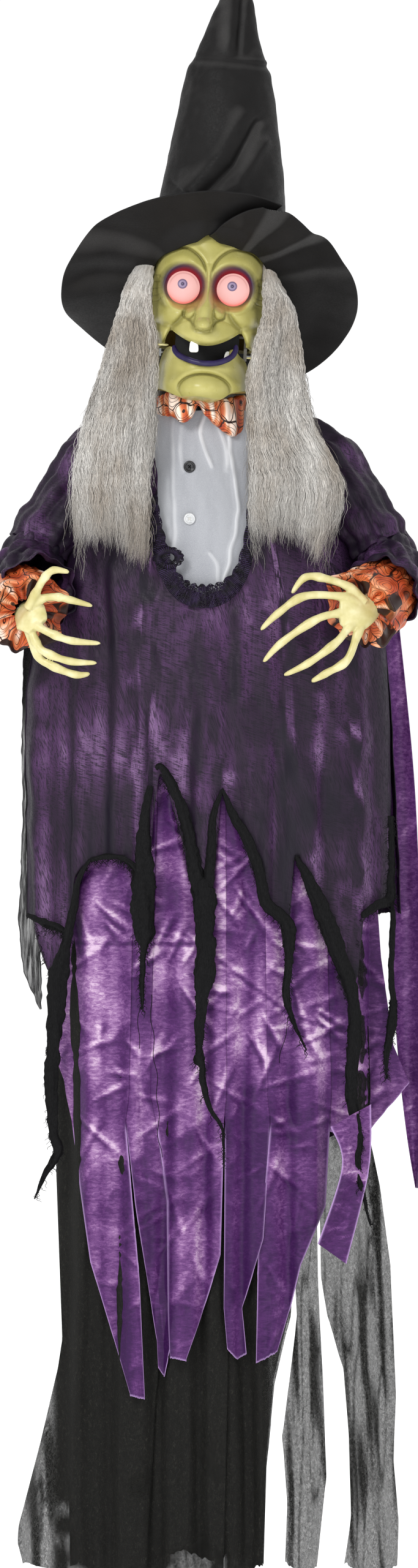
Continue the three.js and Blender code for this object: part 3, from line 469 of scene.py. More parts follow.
def srgb(code):
    """A linear colour from a 0xRRGGBB code."""
    parts = [((code >> shift) & 255) / 255 for shift in (16, 8, 0)]
    return tuple(p / 12.92 if p <= 0.04045 else ((p + 0.055) / 1.055) ** 2.4 for p in parts)


def skin_material():
    m = Material("skin", Roughness=0.3, Specular_IOR_Level=0.3, Coat_Weight=0.06, Coat_Roughness=0.15)
    where = m.place()
    blotch = m.noise(where, 0.045, 3)
    base = m.ramp(blotch, (0.3, srgb(0xA19A55)), (0.7, srgb(0xB2AB68)))
    colour_and_light = m.attribute()
    # The third paint channel is painted shade: it darkens creases and hollows to a deep olive.
    crease = m.mix(m.math("MULTIPLY", colour_and_light[2], 0.62), base, srgb(0x575120))
    purple = m.mix(colour_and_light[0], crease, srgb(0x2E1C38))
    red = m.mix(colour_and_light[1], purple, srgb(0x7C0A1C))
    pores = m.noise(where, 1.6, 2)
    m.set(Base_Color=red, Normal=m.bump(pores, 0.05, 0.4))
    m.set(Roughness=m.level(m.noise(where, 0.1, 2), 0.3, 0.7, 0.26, 0.36))
    return m.material


def lip_material():
    m = Material("lip", Coat_Weight=0.1, Coat_Roughness=0.2, Specular_IOR_Level=0.3)
    where = m.place()
    colour = m.ramp(m.noise(where, 0.12, 3), (0.3, srgb(0x1A1238)), (0.75, srgb(0x281C4C)))
    m.set(Base_Color=colour, Roughness=m.level(m.noise(where, 0.4), 0.3, 0.7, 0.28, 0.45))
    m.set(Normal=m.bump(m.noise(where, 0.9, 2), 0.08, 0.4))
    return m.material


def tooth_material():
    m = Material("tooth", Roughness=0.25, Coat_Weight=0.5)
    where = m.place()
    colour = m.ramp(m.noise(where, 0.25, 3), (0.3, srgb(0xE4E2D8)), (0.7, srgb(0xFAFAF4)))
    m.set(Base_Color=colour, Normal=m.bump(m.noise(where, 0.7), 0.05, 0.4))
    return m.material


def eye_material():
    m = Material("lit_eye", Roughness=0.3, Coat_Weight=0.0, Specular_IOR_Level=0.25)
    colour_and_light = m.attribute()
    glow = m.ramp(colour_and_light[0], (0.0, srgb(0xFCC4BF)), (0.55, srgb(0xFBB3AC)), (1.0, srgb(0xFF8077)))
    # The second paint channel is a painted reflection: a darker arc near the dome's upper rim.
    ring = m.mix(colour_and_light[1], glow, srgb(0xC98480))
    m.set(Base_Color=m.mix(1.0, ring, (0.12, 0.12, 0.12), "MULTIPLY"), Emission_Color=ring,
          Emission_Strength=0.86)
    m.set(Normal=m.bump(m.noise(m.place(), 0.3, 2), 0.03, 0.3))
    return m.material


def pupil_material():
    m = Material("pupil", Roughness=0.35, Specular_IOR_Level=0.25)
    colour_and_light = m.attribute()
    # The paint runs from the middle out to the rim: printed rings, with a painted highlight at the very
    # middle.
    ring = m.ramp(colour_and_light[0], (0.0, srgb(0xB7B0C0)), (0.1, srgb(0x4A3C5A)), (0.3, srgb(0x52425F)),
                  (0.42, srgb(0x9483A0)), (0.62, srgb(0xA391AD)), (0.8, srgb(0x6B5A7A)),
                  (1.0, srgb(0x8E7488)))
    m.set(Base_Color=m.mix(1.0, ring, (0.5, 0.5, 0.5), "MULTIPLY"), Emission_Color=ring,
          Emission_Strength=0.45)
    m.set(Normal=m.bump(m.noise(m.place(), 0.9, 2), 0.05, 0.2))
    return m.material


def hair_material():
    """Crimped synthetic hair. Its paint sets each strand's dark and light, and paints shade and highlight."""
    m = Material("hair", Roughness=0.5, Sheen_Weight=0.1, Specular_IOR_Level=0.3)
    where = m.place()
    fine = m.noise(m.place((1, 1, 0.14)), 1.4, 3, 0.65)
    patch = m.noise(m.place((1, 1, 0.6)), 0.022, 2)
    grey = m.ramp(fine, (0.3, srgb(0xA29E99)), (0.5, srgb(0xD6D2CC)), (0.68, srgb(0xF8F6F2)))
    brown = m.mix(m.level(patch, 0.42, 0.66, 0, 0.7), grey, srgb(0xD2C4B4), "MULTIPLY")
    glint = m.level(m.noise(where, 0.9, 2, 0.8), 0.6, 0.72, 0, 0.7)
    shade = m.attribute()
    light = m.mix(shade[1], m.mix(glint, brown, srgb(0xDAD8D4)), srgb(0xE9E7E3))
    m.set(Base_Color=m.mix(shade[0], light, srgb(0x55514C)), Normal=m.bump(fine, 0.5, 0.7))
    return m.material


def hat_material():
    m = Material("hat_cloth", Sheen_Weight=0.0, Specular_IOR_Level=0.16)
    uv = m.place(source="UV")
    twill = m.wave(m.node("ShaderNodeMapping", {"Vector": uv, "Rotation": (0, 0, 0.9)}).outputs[0], 0.42,
                   0.4, 1, 3)
    weft = m.noise(m.place(), 1.3, 2, 0.7)
    shade = m.attribute()
    speck = m.level(m.math("MULTIPLY", weft, twill), 0.1, 0.6)
    shine = m.mix(speck, srgb(0x232222), srgb(0x4E4D4C))
    black = m.ramp(m.noise(m.place(), 0.03, 3), (0.3, srgb(0x100F0F)), (0.75, srgb(0x171616)))
    m.set(Base_Color=m.mix(m.level(shade[0], 0.42, 1.0, 0, 0.8), black, shine))
    m.set(Roughness=m.level(m.noise(m.place(), 0.5, 2), 0.3, 0.7, 0.5, 0.65))
    m.set(Normal=m.bump(twill, 0.1, 0.25, m.bump(weft, 0.2, 0.3)))
    return m.material


def web_lines(m, uv, cell, line):
    """Webs as rays from scattered centres with sagging rungs between them."""
    bend = m.node("ShaderNodeTexNoise", {"Vector": uv, "Scale": 0.06, "Detail": 1.0}).outputs["Color"]
    bent = m.node("ShaderNodeVectorMath", {0: uv, 1: m.node("ShaderNodeVectorMath", {0: bend, "Scale": 6.0},
                  operation="SCALE").outputs[0]}, operation="ADD").outputs[0]
    centre = m.node("ShaderNodeTexVoronoi", {"Vector": bent, "Scale": 1 / cell, "Randomness": 0.7},
                    feature="F1")
    offset = m.node("ShaderNodeVectorMath", {0: m.node("ShaderNodeVectorMath", {0: bent, "Scale": 1 / cell},
                    operation="SCALE").outputs[0], 1: centre.outputs["Position"]},
                    operation="SUBTRACT").outputs[0]
    parts = m.node("ShaderNodeSeparateXYZ", {"Vector": offset}).outputs
    angle = m.math("ARCTAN2", parts[1], parts[0])
    ray = m.math("ABSOLUTE", m.math("SINE", m.math("MULTIPLY", angle, 5.5)))
    reach = centre.outputs["Distance"]
    ray_width = m.math("MULTIPLY", ray, reach)
    sag = m.math("MULTIPLY", m.math("SUBTRACT", 1.0, ray), 0.06)
    rung = m.math("ABSOLUTE", m.math("SINE", m.math("MULTIPLY", m.math("SUBTRACT", reach, sag), 26.0)))
    edge = m.cells(bent, 1 / cell, randomness=0.7)
    rays = m.level(ray_width, line * 2.6, line * 4.2)
    rungs = m.level(rung, line * 6.0, line * 9.0)
    edges = m.level(edge, line * 0.5, line * 1.1)
    return m.math("MINIMUM", m.math("MINIMUM", rays, rungs), edges)


def web_material():
    """Orange satin printed with black webs, paler where the folds catch the light."""
    m = Material("web_print", Roughness=0.42, Specular_IOR_Level=0.35)
    uv = m.place(source="UV")
    print_ = web_lines(m, uv, 26.0, 0.03)
    shade = m.attribute()
    tone = m.math("ADD", shade[0], m.level(m.noise(uv, 0.05, 2), 0.3, 0.7, -0.22, 0.22))
    cloth = m.ramp(tone, (0.15, srgb(0xAF4522)), (0.4, srgb(0xCC6536)), (0.62, srgb(0xE09A70)),
                   (0.85, srgb(0xF6DFD0)))
    m.set(Base_Color=m.mix(print_, srgb(0x260F0A), cloth))
    m.set(Normal=m.bump(m.noise(m.place(source="Object"), 1.2, 2), 0.15, 0.3))
    return m.material


def shirt_material():
    m = Material("shirt_cloth", Roughness=0.42, Specular_IOR_Level=0.3)
    shade = m.attribute()
    # The first paint channel is random tone with painted sheen on the folds; the second paints highlight
    # streaks.
    grey = m.ramp(shade[0], (0.0, srgb(0x75777F)), (0.45, srgb(0x9C9EA4)), (0.62, srgb(0xA9ABB0)),
                  (1.0, srgb(0xC9CBCF)))
    sheen_streak = m.mix(shade[1], grey, srgb(0xEDEEF0))
    thread = m.noise(m.place((1, 1, 5)), 0.9, 2)
    m.set(Base_Color=m.mix(m.level(thread, 0.35, 0.7, 0, 0.3), sheen_streak, srgb(0xD2D4D7)))
    m.set(Normal=m.bump(m.noise(m.place((1, 1, 4)), 1.4, 2), 0.12, 0.3))
    return m.material


def lace_material():
    m = Material("lace", Roughness=0.7, Specular_IOR_Level=0.2)
    where = m.place()
    net = m.cells(where, 0.42)
    flowers = m.cells(where, 0.09, "SMOOTH_F1")
    solid = m.math("MAXIMUM", m.level(net, 0.1, 0.16, 1, 0), m.level(flowers, 0.42, 0.5, 1, 0))
    uv = m.place(source="UV")
    stitch = m.wave(uv, 0.16, 1.2, 2, 2)
    colour = m.ramp(m.math("MULTIPLY", stitch, m.noise(where, 0.12)), (0.3, srgb(0x0B090D)),
                    (0.62, srgb(0x3A2850)))
    m.set(Base_Color=colour, Alpha=m.level(solid, 0.0, 1.0, 0.25, 1.0), Normal=m.bump(net, 0.5, 0.6))
    return m.material


def robe_material():
    """Dark purple satin seen through crinkled black gauze. The paint says how much light it throws back."""
    m = Material("robe_cloth", Roughness=0.5, Specular_IOR_Level=0.22)
    shade = m.attribute()
    satin = m.ramp(shade[0], (0.0, srgb(0x10081A)), (0.4, srgb(0x29152F)), (0.7, srgb(0x4F3059)),
                   (1.0, srgb(0x7F5E8A)))

    def threads(lean, across, run, seed):
        turned = m.node("ShaderNodeMapping",
                        {"Vector": m.place(turn=(0, lean, 0)), "Scale": (across, 0.5, run),
                                              "Location": (seed, 0, 0)}).outputs[0]
        return m.noise(turned, 1.0, 3, 0.62, 0.5)

    steep = threads(0.35, 0.75, 0.05, 0)
    flat = threads(1.25, 0.9, 0.06, 40)
    upright = threads(-0.05, 0.5, 0.03, 90)
    choose = m.noise(m.place(), 0.013, 2)
    lines = m.node("ShaderNodeMix", {"Factor": m.level(choose, 0.42, 0.56), 2: steep, 3: flat}).outputs[0]
    lines = m.math("ADD", m.math("MULTIPLY", lines, 0.7), m.math("MULTIPLY", upright, 0.3))
    veil = m.level(lines, 0.44, 0.58, 0.05, 0.88)
    mesh = m.level(m.cells(m.place((1, 1, 0.6)), 0.8), 0.0, 0.35, 0.35, 0)
    dark = m.mix(m.math("MAXIMUM", veil, mesh), satin, srgb(0x16111C))
    m.set(Base_Color=m.mix(shade[1], dark, srgb(0x121013)))
    m.set(Roughness=m.level(veil, 0, 1, 0.42, 0.7))
    m.set(Normal=m.bump(lines, 0.45, 0.9))
    return m.material


def satin_material():
    """Crumpled satin. Its paint holds the light its facets throw back, and painted highlights on cut edges.
    """
    m = Material("satin", Roughness=0.5, Specular_IOR_Level=0.2)
    shade = m.attribute()
    grain = m.noise(m.place((1, 1, 0.5)), 1.7, 3, 0.7)
    fine = m.noise(m.place((0.6, 1, 1.6), turn=(0, 0.3, 0)), 0.22, 3, 0.6, 0.6)
    light = m.math("ADD", shade[0], m.level(grain, 0.3, 0.7, -0.07, 0.07))
    light = m.math("ADD", light, m.level(fine, 0.35, 0.65, -0.12, 0.12))
    colour = m.ramp(light, (0.0, srgb(0x331244)), (0.34, srgb(0x4C245C)), (0.56, srgb(0x6C4279)),
                    (0.76, srgb(0x946C9C)), (1.0, srgb(0xCDB2CC)))
    m.set(Base_Color=m.mix(shade[1], colour, srgb(0xB493C8)))
    m.set(Normal=m.bump(fine, 0.4, 1.2, m.bump(grain, 0.15, 0.2)))
    return m.material


def nonwoven_material():
    """Thin black non-woven cloth. The paint says where it hangs single, and where a pleat lies double."""
    m = Material("nonwoven", Roughness=0.8, Specular_IOR_Level=0.15)
    fibre = m.noise(m.place((1, 1, 0.6)), 0.45, 5, 0.75, 1.2)
    shade = m.attribute()
    colour = m.ramp(fibre, (0.3, srgb(0x0C0C0B)), (0.55, srgb(0x191917)), (0.75, srgb(0x3A3934)))
    through = m.level(fibre, 0.36, 0.64, 0.72, 0.42)
    through = m.math("ADD", through, m.math("MULTIPLY", shade[1], 0.34), clamp=True)
    solid = m.level(fibre, 0.4, 0.8, 1.0, 0.9)
    alpha = m.node("ShaderNodeMix", {"Factor": shade[0], 2: solid, 3: through}).outputs[0]
    m.set(Base_Color=colour, Alpha=alpha, Normal=m.bump(fibre, 0.5, 0.6))
    return m.material


def gauze_material():
    m = Material("gauze", Roughness=0.85, Specular_IOR_Level=0.1)
    fine = m.noise(m.place((1, 1, 0.3)), 0.9, 4, 0.7)
    colour = m.ramp(fine, (0.3, srgb(0x0B0B0C)), (0.65, srgb(0x19191A)), (0.85, srgb(0x2E2E30)))
    m.set(Base_Color=colour, Normal=m.bump(fine, 0.7, 1.0))
    return m.material


def veil_material():
    """Loose black gauze that shows what is behind it."""
    m = Material("veil", Roughness=0.85, Specular_IOR_Level=0.1)
    upright = m.noise(m.place((1, 1, 0.06)), 0.35, 4, 0.7)
    net = m.noise(m.place(), 1.1, 2)
    shade = m.attribute()
    colour = m.ramp(net, (0.3, srgb(0x0E0E0F)), (0.7, srgb(0x262627)))
    thick = m.level(upright, 0.35, 0.62, 0.34, 0.9)
    m.set(Base_Color=colour, Alpha=m.math("MAXIMUM", thick, shade[0]), Normal=m.bump(upright, 0.4, 1.0))
    return m.material


def bone_material():
    m = Material("bone", Roughness=0.4, Coat_Weight=0.1, Specular_IOR_Level=0.4)
    where = m.place()
    tint = m.noise(where, 0.06, 3)
    colour = m.ramp(tint, (0.3, srgb(0xBDB375)), (0.55, srgb(0xCFC792)), (0.75, srgb(0xDED8AE)))
    shade = m.attribute()
    m.set(Base_Color=m.mix(shade[0], colour, srgb(0x8E8440)),
          Normal=m.bump(m.noise(where, 0.8, 3), 0.1, 0.4))
    return m.material


def plain_material(name, dark, light, roughness, metallic=0.0, grain=0.6, strength=0.08):
    """Moulded plastic or plain metal: a little mottle, a little grain."""
    m = Material(name, Metallic=metallic)
    where = m.place()
    m.set(Base_Color=m.ramp(m.noise(where, 0.08, 3), (0.3, srgb(dark)), (0.7, srgb(light))))
    m.set(Roughness=m.level(m.noise(where, grain, 2), 0.3, 0.7, roughness * 0.85, roughness * 1.2))
    m.set(Normal=m.bump(m.noise(where, grain * 2, 2), strength, 0.3))
    return m.material


def board_material():
    m = Material("board", Roughness=0.4)
    where = m.place()
    track = m.wave(where, 0.25, 4, 2, 0.4)
    m.set(Base_Color=m.ramp(track, (0.45, srgb(0x1B5A33)), (0.55, srgb(0x2F7A48))),
          Normal=m.bump(track, 0.15, 0.2))
    return m.material


def hollow_black():
    m = Material("mouth_black", Roughness=0.7)
    m.set(Base_Color=m.ramp(m.noise(m.place(), 0.3), (0.3, srgb(0x050505)), (0.7, srgb(0x101010))))
    m.set(Normal=m.bump(m.noise(m.place(), 0.8), 0.1, 0.4))
    return m.material


SKIN, LIP, TOOTH, LIT_EYE, PUPIL = (f() for f in (skin_material, lip_material, tooth_material, eye_material,
                                                  pupil_material))
HAIR, HAT, WEB, SHIRT, LACE = (f() for f in (hair_material, hat_material, web_material, shirt_material,
                                             lace_material))
ROBE, SATIN, NONWOVEN, GAUZE, VEIL = (f() for f in (robe_material, satin_material, nonwoven_material,
                                                    gauze_material, veil_material))
BONE, BOARD, MOUTH = bone_material(), board_material(), hollow_black()
PLASTIC = plain_material("black_plastic", 0x131313, 0x232323, 0.5)
STEEL = plain_material("steel", 0x9A9EA3, 0xC4C7CB, 0.3, 1.0, 0.9, 0.05)
NATURAL = plain_material("white_plastic", 0xCBC9C1, 0xE3E1DB, 0.5)
CELL = plain_material("battery", 0x1E1F22, 0x34363B, 0.35, 0.2)
BUTTON_BLACK = plain_material("button_black", 0x0E0E10, 0x1F1F22, 0.25)
BUTTON_CLEAR = plain_material("button_clear", 0xA9ABAD, 0xE4E5E6, 0.15)
CAD_LOOKS = {
    "skin": SKIN, "lip": LIP, "tooth": TOOTH, "lit_eye": LIT_EYE, "pupil": PUPIL, "black_plastic": PLASTIC,
    "steel": STEEL, "white_plastic": NATURAL, "board": BOARD, "battery": CELL, "hair": HAIR, "hat_cloth": HAT,
    "web_print": WEB, "shirt_cloth": SHIRT, "lace": LACE, "robe_cloth": ROBE, "satin": SATIN,
    "gauze": NONWOVEN, "bone": BONE,
}


def dress_cad_nodes():
    for part in frame["record"]["subparts"]:
        mesh = frame["nodes"][part["node"]].data
        mesh.materials.clear()
        mesh.materials.append(CAD_LOOKS[part["material_slot"]])
    frame["nodes"]["mouth_liner"].data.materials[0] = MOUTH


# ---- Face ------------------------------------------------------------------------------------------------

head_half_width = soft_graph((-75, 57), (-60, 62), (-40, 64), (0, 65), (30, 64), (60, 56), (78, 42),
                             (92, 12), blur=9)
head_front = soft_graph((-75, 83), (-60, 83), (-30, 80), (0, 73), (30, 76), (60, 68), (78, 48), (92, 12),
                        blur=9)
BROW_LINE = [(2.6, 13), (4.3, 21), (6.5, 27), (10, 32.5), (16, 38.5), (22, 42.5), (30, 44.8), (38, 44.5),
             (46, 42.5), (53, 38), (60, 29)]
NOSE_LEAN = graph((-50, -3.7), (-34, -3.4), (-18, -2.2), (0, -0.2), (20, 0.3))
WING_LINE = [(7.5, -47.5), (10.5, -42), (14, -37.5), (18, -35.5), (22.5, -33), (24, -27), (21, -20),
             (15, -17.5)]


def brow_reach(side, z):
    """0 in the middle of a brow's swelling, 1 on the crease that bounds it."""
    line = np.array(BROW_LINE[::-1], float) - (30, 12)
    angle = np.arctan2(line[:, 1], line[:, 0])
    here = np.arctan2(z - 12, side - 30)
    here = np.where(here < -np.pi / 2, here + 2 * np.pi, here)
    return np.hypot(side - 30, z - 12) / np.interp(here, angle, np.hypot(line[:, 0], line[:, 1]))


def upper_lip_edge(x):
    """The lowest edge of the face moulding: a bow over the mouth, then down round the cheeks."""
    mouth = x - MOUTH_X
    middle = -65 + 17 * np.square(mouth / 38)
    cheeks = np.interp(np.abs(mouth), (37, 40, 43, 48, 54, 60), (-48, -49, -54, -64, -67.5, -66.5))
    return np.where(np.abs(mouth) < 37.5, middle, cheeks)


def oval(side, z, cx, cz, rx, rz, tilt=0.0):
    """0 in the middle of a tilted oval on each side of the face, 1 on its edge."""
    c, s = math.cos(tilt), math.sin(tilt)
    u, v = (side - cx) * c + (z - cz) * s, -(side - cx) * s + (z - cz) * c
    return np.hypot(u / rx, v / rz)


def dome(r, height, power=1.5):
    return height * np.clip(1 - r * r, 0, 1) ** power


def shape_brows(x, z, middle, side, lift, crease):
    """Heavy brows: a swollen crescent over each eye, with a deep crease round its top and inner side."""
    brow = brow_reach(side, z)
    above = step(2, 12, z)
    lift += dome(brow, 9) * step(4, 16, z) + 4.0 * bell((brow - 0.72) / 0.24) * step(8, 20, z)
    crease_line = bell((brow - 1.01) / 0.055) * above * step(62, 52, side)
    lift -= 3.0 * crease_line
    lift += 1.2 * bell((brow - 1.16) / 0.1) * above
    # Painted shade darkens the crease.
    crease += 0.55 * crease_line
    streaks = bell((brow - 0.9) / 0.1) * np.clip(np.sin(x * 1.9 + np.sin(z * 0.7)) - 0.3, 0, 1)
    crease += 0.35 * streaks * step(32, 41, z)
    # The ridge that runs between the brows into the nose.
    lift += 2.2 * bell(middle / 5.5) * bell((z - 14) / 15)


def shape_cheeks(side, z, lift, crease):
    """A pouch below the eye, a jowl beside the mouth, and the folds from the nose's wings to its corners."""
    lift += dome(oval(side, z, 46, -30, 23, 16, -0.35), 9)
    lift += dome(oval(side, z, 50, -54, 17, 15, 0.2), 9)
    lift += 2.2 * bell(oval(side, z, 31, -23, 13, 5, 0.35))
    fold = line_distance(side, z, [(23, -21), (26, -30), (31, -37), (37, -43), (42, -51), (45, -61)])
    lift -= 4.4 * bell(fold / 3.0)
    # Painted shade darkens the fold.
    crease += 0.35 * bell(fold / 1.6)
    jowl = line_distance(side, z, [(42, -43), (49, -43), (57, -40)])
    lift -= 1.8 * bell(jowl / 3.2)


def shape_lip(x, z, lift):
    """A full upper lip."""
    mouth = x - MOUTH_X
    lip = np.hypot(mouth / 37, (z + 51) / 17)
    lift += 8.5 * np.clip(1 - lip**2, 0, 1) ** 0.8 * step(-20, -32, z)
    rim = np.clip(z - upper_lip_edge(x), 0, 30)
    lift -= np.where(np.abs(mouth) < 40, 4.5 * bell(rim / 2.6), 2.5 * bell(rim / 2.5))


def shape_nose(middle, z, lift, crease):
    """A narrow column that ends in a drooping bulb, and two raised wings."""
    off = middle - NOSE_LEAN(z)
    height = np.interp(z, (-50, -47, -42, -34, -22, -8, 6, 18, 28), (0, 15, 24, 27, 23, 15, 8, 4, 0))
    width = np.interp(z, (-48, -40, -25, -12, 0, 15), (9.4, 10.6, 10.2, 8.6, 6.6, 6.5))
    bridge = height * np.clip(1 - np.square(off / (width * 1.06)), 0, 1) ** 0.6
    flank = 0.34 * height * bell(off / (width * 1.7)) * step(-46, -28, z)
    bulb_r = np.hypot(off / 8.2, (z + 40.5) / 8.8)
    bulb = np.sqrt(np.clip(1 - bulb_r**2, 0, 1)) * 11 + 19.5 * step(1.02, 0.9, bulb_r)
    wing_r = np.hypot((np.abs(off) - 14.4) / 8.4, (z + 27.0 + 0.35 * (np.abs(off) - 14)) / 8.4)
    wings = np.clip(1 - wing_r**2, 0, 1) ** 0.6 * 10
    nose = np.maximum(np.maximum(bridge, bulb), np.maximum(wings, flank))
    lift += nose * step(-50, -46, z)
    wing_crease = line_distance(np.abs(off), z, WING_LINE)
    low = step(-18, -30, z)
    lift -= 2.6 * bell(wing_crease / 1.6) * step(1.0, 1.15, bulb_r)
    # Painted shade darkens the creases round the wings and the bulb.
    crease += (0.12 + 0.4 * low) * bell(wing_crease / 1.2) * step(1.0, 1.12, bulb_r)
    crease += 0.4 * bell((bulb_r - 1.05) / 0.07) * step(-40, -46, z)


def shape_wrinkles(side, z, lift, crease):
    """Crow's feet, and lines under the eyes."""
    # Each line is sunk and darkened with painted shade, and so is the edge of the pouch under each eye.
    for z0, z1, bend in ((9, 15, 1.5), (4, 7, 1), (-1, -1, 0), (-6, -9, -1), (-11, -16, -1.5)):
        line = line_distance(side, z, [(51, z0), (56, (z0 + z1) / 2 + bend), (63, z1)])
        lift -= 0.9 * bell(line / 0.9)
        crease += 0.28 * bell(line / 0.8)
    pouch = oval(side, z, 28, -2, 27, 26)
    under = step(-8, -18, z) * step(52, 42, side)
    lift -= 1.2 * bell((pouch - 1) / 0.07) * under
    crease += 0.12 * bell((pouch - 1) / 0.05) * under


def face_depth(x, z):
    """How far forward the face stands off the plain head, and its paint as (purple, red, painted crease
    shade).
    """
    middle = x - FACE_X
    side = np.abs(middle)
    lift = np.zeros_like(x)
    crease = np.zeros_like(x)
    shape_brows(x, z, middle, side, lift, crease)
    shape_cheeks(side, z, lift, crease)
    shape_lip(x, z, lift)
    shape_nose(middle, z, lift, crease)
    shape_wrinkles(side, z, lift, crease)

    # Sockets: each eye sits in a round cup, airbrushed purple with red nearest the eye.
    eye = np.hypot(side - EYE_X, z)
    plain = head_front(z) * np.sqrt(np.clip(1 - np.square(x / head_half_width(z)), 0, 1))
    cup = 62.6 + 10 * step(18.5, 29, eye) - 3.0 * step(30, 50, side)
    share = step(31, 21.0, eye)
    lift = lift * (1 - share) + (cup - plain) * share
    # Painted shade in the hollows, from how far each point lies below its blurred surroundings.
    shadow = blurred(lift, 12, 12) - lift
    crease += np.clip(shadow / 3.6, -0.1, 0.55)
    around = np.hypot(side - EYE_X, (z - 2) * np.where(z < 2, 1.22, 1.0))
    inner = step(6, -10, side - EYE_X)
    purple = step(29.0, 21.5, around) * (0.85 + 0.15 * step(-6, 10, z))
    red = step(23.5 - 1.5 * (1 - inner), 18.0, around) * (0.3 + 0.65 * np.maximum(inner, step(4, 16, z)))
    corner = np.hypot((side - 9.5) / 5.5, (z + 9) / 6.5)
    red = np.maximum(red, 0.5 * bell(corner))
    return lift, painted(np.clip(purple, 0, 1), np.clip(red, 0, 1), np.clip(crease, 0, 1))


def build_face():
    rows, columns = 300, 330
    turn = np.linspace(-math.radians(97), math.radians(97), columns)[None, :]
    level = np.linspace(0, 1, rows)[:, None]
    low = upper_lip_edge(62 * np.sin(turn) + 0 * level)
    z = FACE_TOP + (low - FACE_TOP) * level
    x = head_half_width(z) * np.sin(turn)
    lift, paint = face_depth(x, z)
    front = np.clip(np.cos(turn) * 3.2, 0, 1)
    y = -head_front(z) * np.cos(turn) - lift * front
    spread = lift * (1 - front) * np.sign(x) * 0.4
    points = from_head(np.stack([x + spread, y, z], -1))
    keep = np.hypot(np.abs(x - FACE_X) - EYE_X, z) > EYE_HOLE
    piece = sheet_piece("face_mask", points, np.full(z.shape, FACE_THICKNESS), SKIN, keep=keep, paint=paint)
    finish_piece(piece, "figure", "head_front_shell")


def build_flanges():
    """A pale moulded flange stands out below each cheek, where the jaw hangs."""
    parts = []
    for first, last, height in ((-55, -47, -65.5), (49, 57, -75.5)):
        x = np.linspace(first, last, 30)
        y = -52 - 6 * np.cos(np.linspace(-1, 1, 30))
        line = from_head(np.stack([x, y, 0 * x + height], -1))
        parts.append(capped(tube(line, 5.0, 12, flat=1.3, up=(0, 0, 1))))
    verts, faces = joined(parts)
    finish_piece(outward(make_mesh("cheek_flanges", verts, faces, BONE)), "figure",
                 "head_front_shell")


def build_pupil(name, centre):
    turn = full_turn(40)
    radius = np.linspace(0.02, PUPIL_RADIUS, 24)[:, None] + 0 * turn
    x, z = -1.2 + radius * np.cos(turn), 3.4 + radius * np.sin(turn)
    depth = np.sqrt((EYE_RADIUS + 0.35) ** 2 - x**2 - z**2)
    disc = np.stack([centre + x, EYE_Y - depth, z], -1)
    pupil = sheet_piece(f"{name}_pupil", from_head(disc), np.full(radius.shape, 0.3), PUPIL, wrap=True,
                        paint=painted(radius / PUPIL_RADIUS))
    finish_piece(outward(pupil), "figure", f"{name}_pupil_disc")


def build_eyes():
    """Each lit eye is a domed lens with a printed disc for its pupil."""
    for name, side in SIDES.items():
        centre = FACE_X + side * EYE_X
        across = np.linspace(0, np.pi / 2, 30)[:, None]
        turn = full_turn(60)
        r = EYE_RADIUS * np.sin(across) + 0 * turn
        y = EYE_Y - EYE_RADIUS * np.cos(across) + 0 * turn
        points = np.stack([centre + r * np.cos(turn), y, r * np.sin(turn)], -1)
        height = points[..., 2] / EYE_RADIUS
        low = step(0.2, -0.9, height)
        radius = r / EYE_RADIUS
        rim = np.clip(radius**4 * (0.35 + 0.8 * low), 0, 1)
        # Painted reflection: a darker arc across the upper part of the lens.
        lens = bell((radius - 0.86) / 0.035) * step(-0.1, 0.5, height)
        eye = sheet_piece(f"{name}_eye", from_head(points), np.full(r.shape, 1.4), LIT_EYE, wrap=True,
                          paint=painted(rim, 0.55 * lens))
        finish_piece(outward(eye), "figure", f"{name}_eye_dome")
        build_pupil(name, centre)


def rounded(a):
    return np.sign(a) * np.abs(a) ** 0.5


def rounded_tooth(name, centre, size, body, replaces, tilt=0.0):
    """A peg tooth: a box with fully rounded edges, tapering a little to its tip."""
    u = np.linspace(0.001, np.pi - 0.001, 24)[:, None]
    v = full_turn(32)
    ring = rounded(np.sin(u))
    x, y, z = ring * rounded(np.cos(v)), ring * rounded(np.sin(v)), rounded(np.cos(u)) + 0 * v
    taper = 1 - 0.12 * z * np.sign(size[2])
    x, y, z = x * size[0] * taper, y * size[1], z * abs(size[2])
    c, s = math.cos(tilt), math.sin(tilt)
    points = np.stack([centre[0] + x * c - z * s, centre[1] + y, centre[2] + x * s + z * c], -1)
    verts, faces = capped(from_head(points))
    piece = make_mesh(name, verts, faces, TOOTH)
    return finish_piece(outward(piece), body, replaces)


# ---- Jaw -------------------------------------------------------------------------------------------------

jaw_half_width = soft_graph((-140, 28), (-132, 38), (-126, 47), (-118, 51.5), (-108, 52), (-96, 51.5),
                            (-83, 49.5), (-75, 46.5), (-66, 44), blur=3)
jaw_front = soft_graph((-135, 66), (-127, 78), (-118, 86), (-108, 87), (-96, 83), (-86, 83), (-66, 78),
                       blur=4)
JAW_BOTTOM = soft_graph((-54, -116), (-45, -119), (-35, -123.5), (-28, -126.5), (-16, -126.5), (-6, -126),
                        (4, -127), (14, -128.5), (22, -127.5), (26, -124), (30, -120), (40, -117.5),
                        (50, -116),
                        blur=2.5)


def jaw_rim(x):
    """The jaw's upper edge: low under the lip, and a knob at each corner."""
    lip = -85.5 + 13.5 * np.square(x / 34)
    left = np.interp(x, (33, 35, 38, 41, 44, 49), (-72, -67.5, -66.5, -68, -74, -78))
    right = np.interp(-x, (34, 37, 42, 46, 49), (-72, -68, -66.5, -68, -73))
    return np.where(x > 33, left, np.where(x < -34, right, lip))


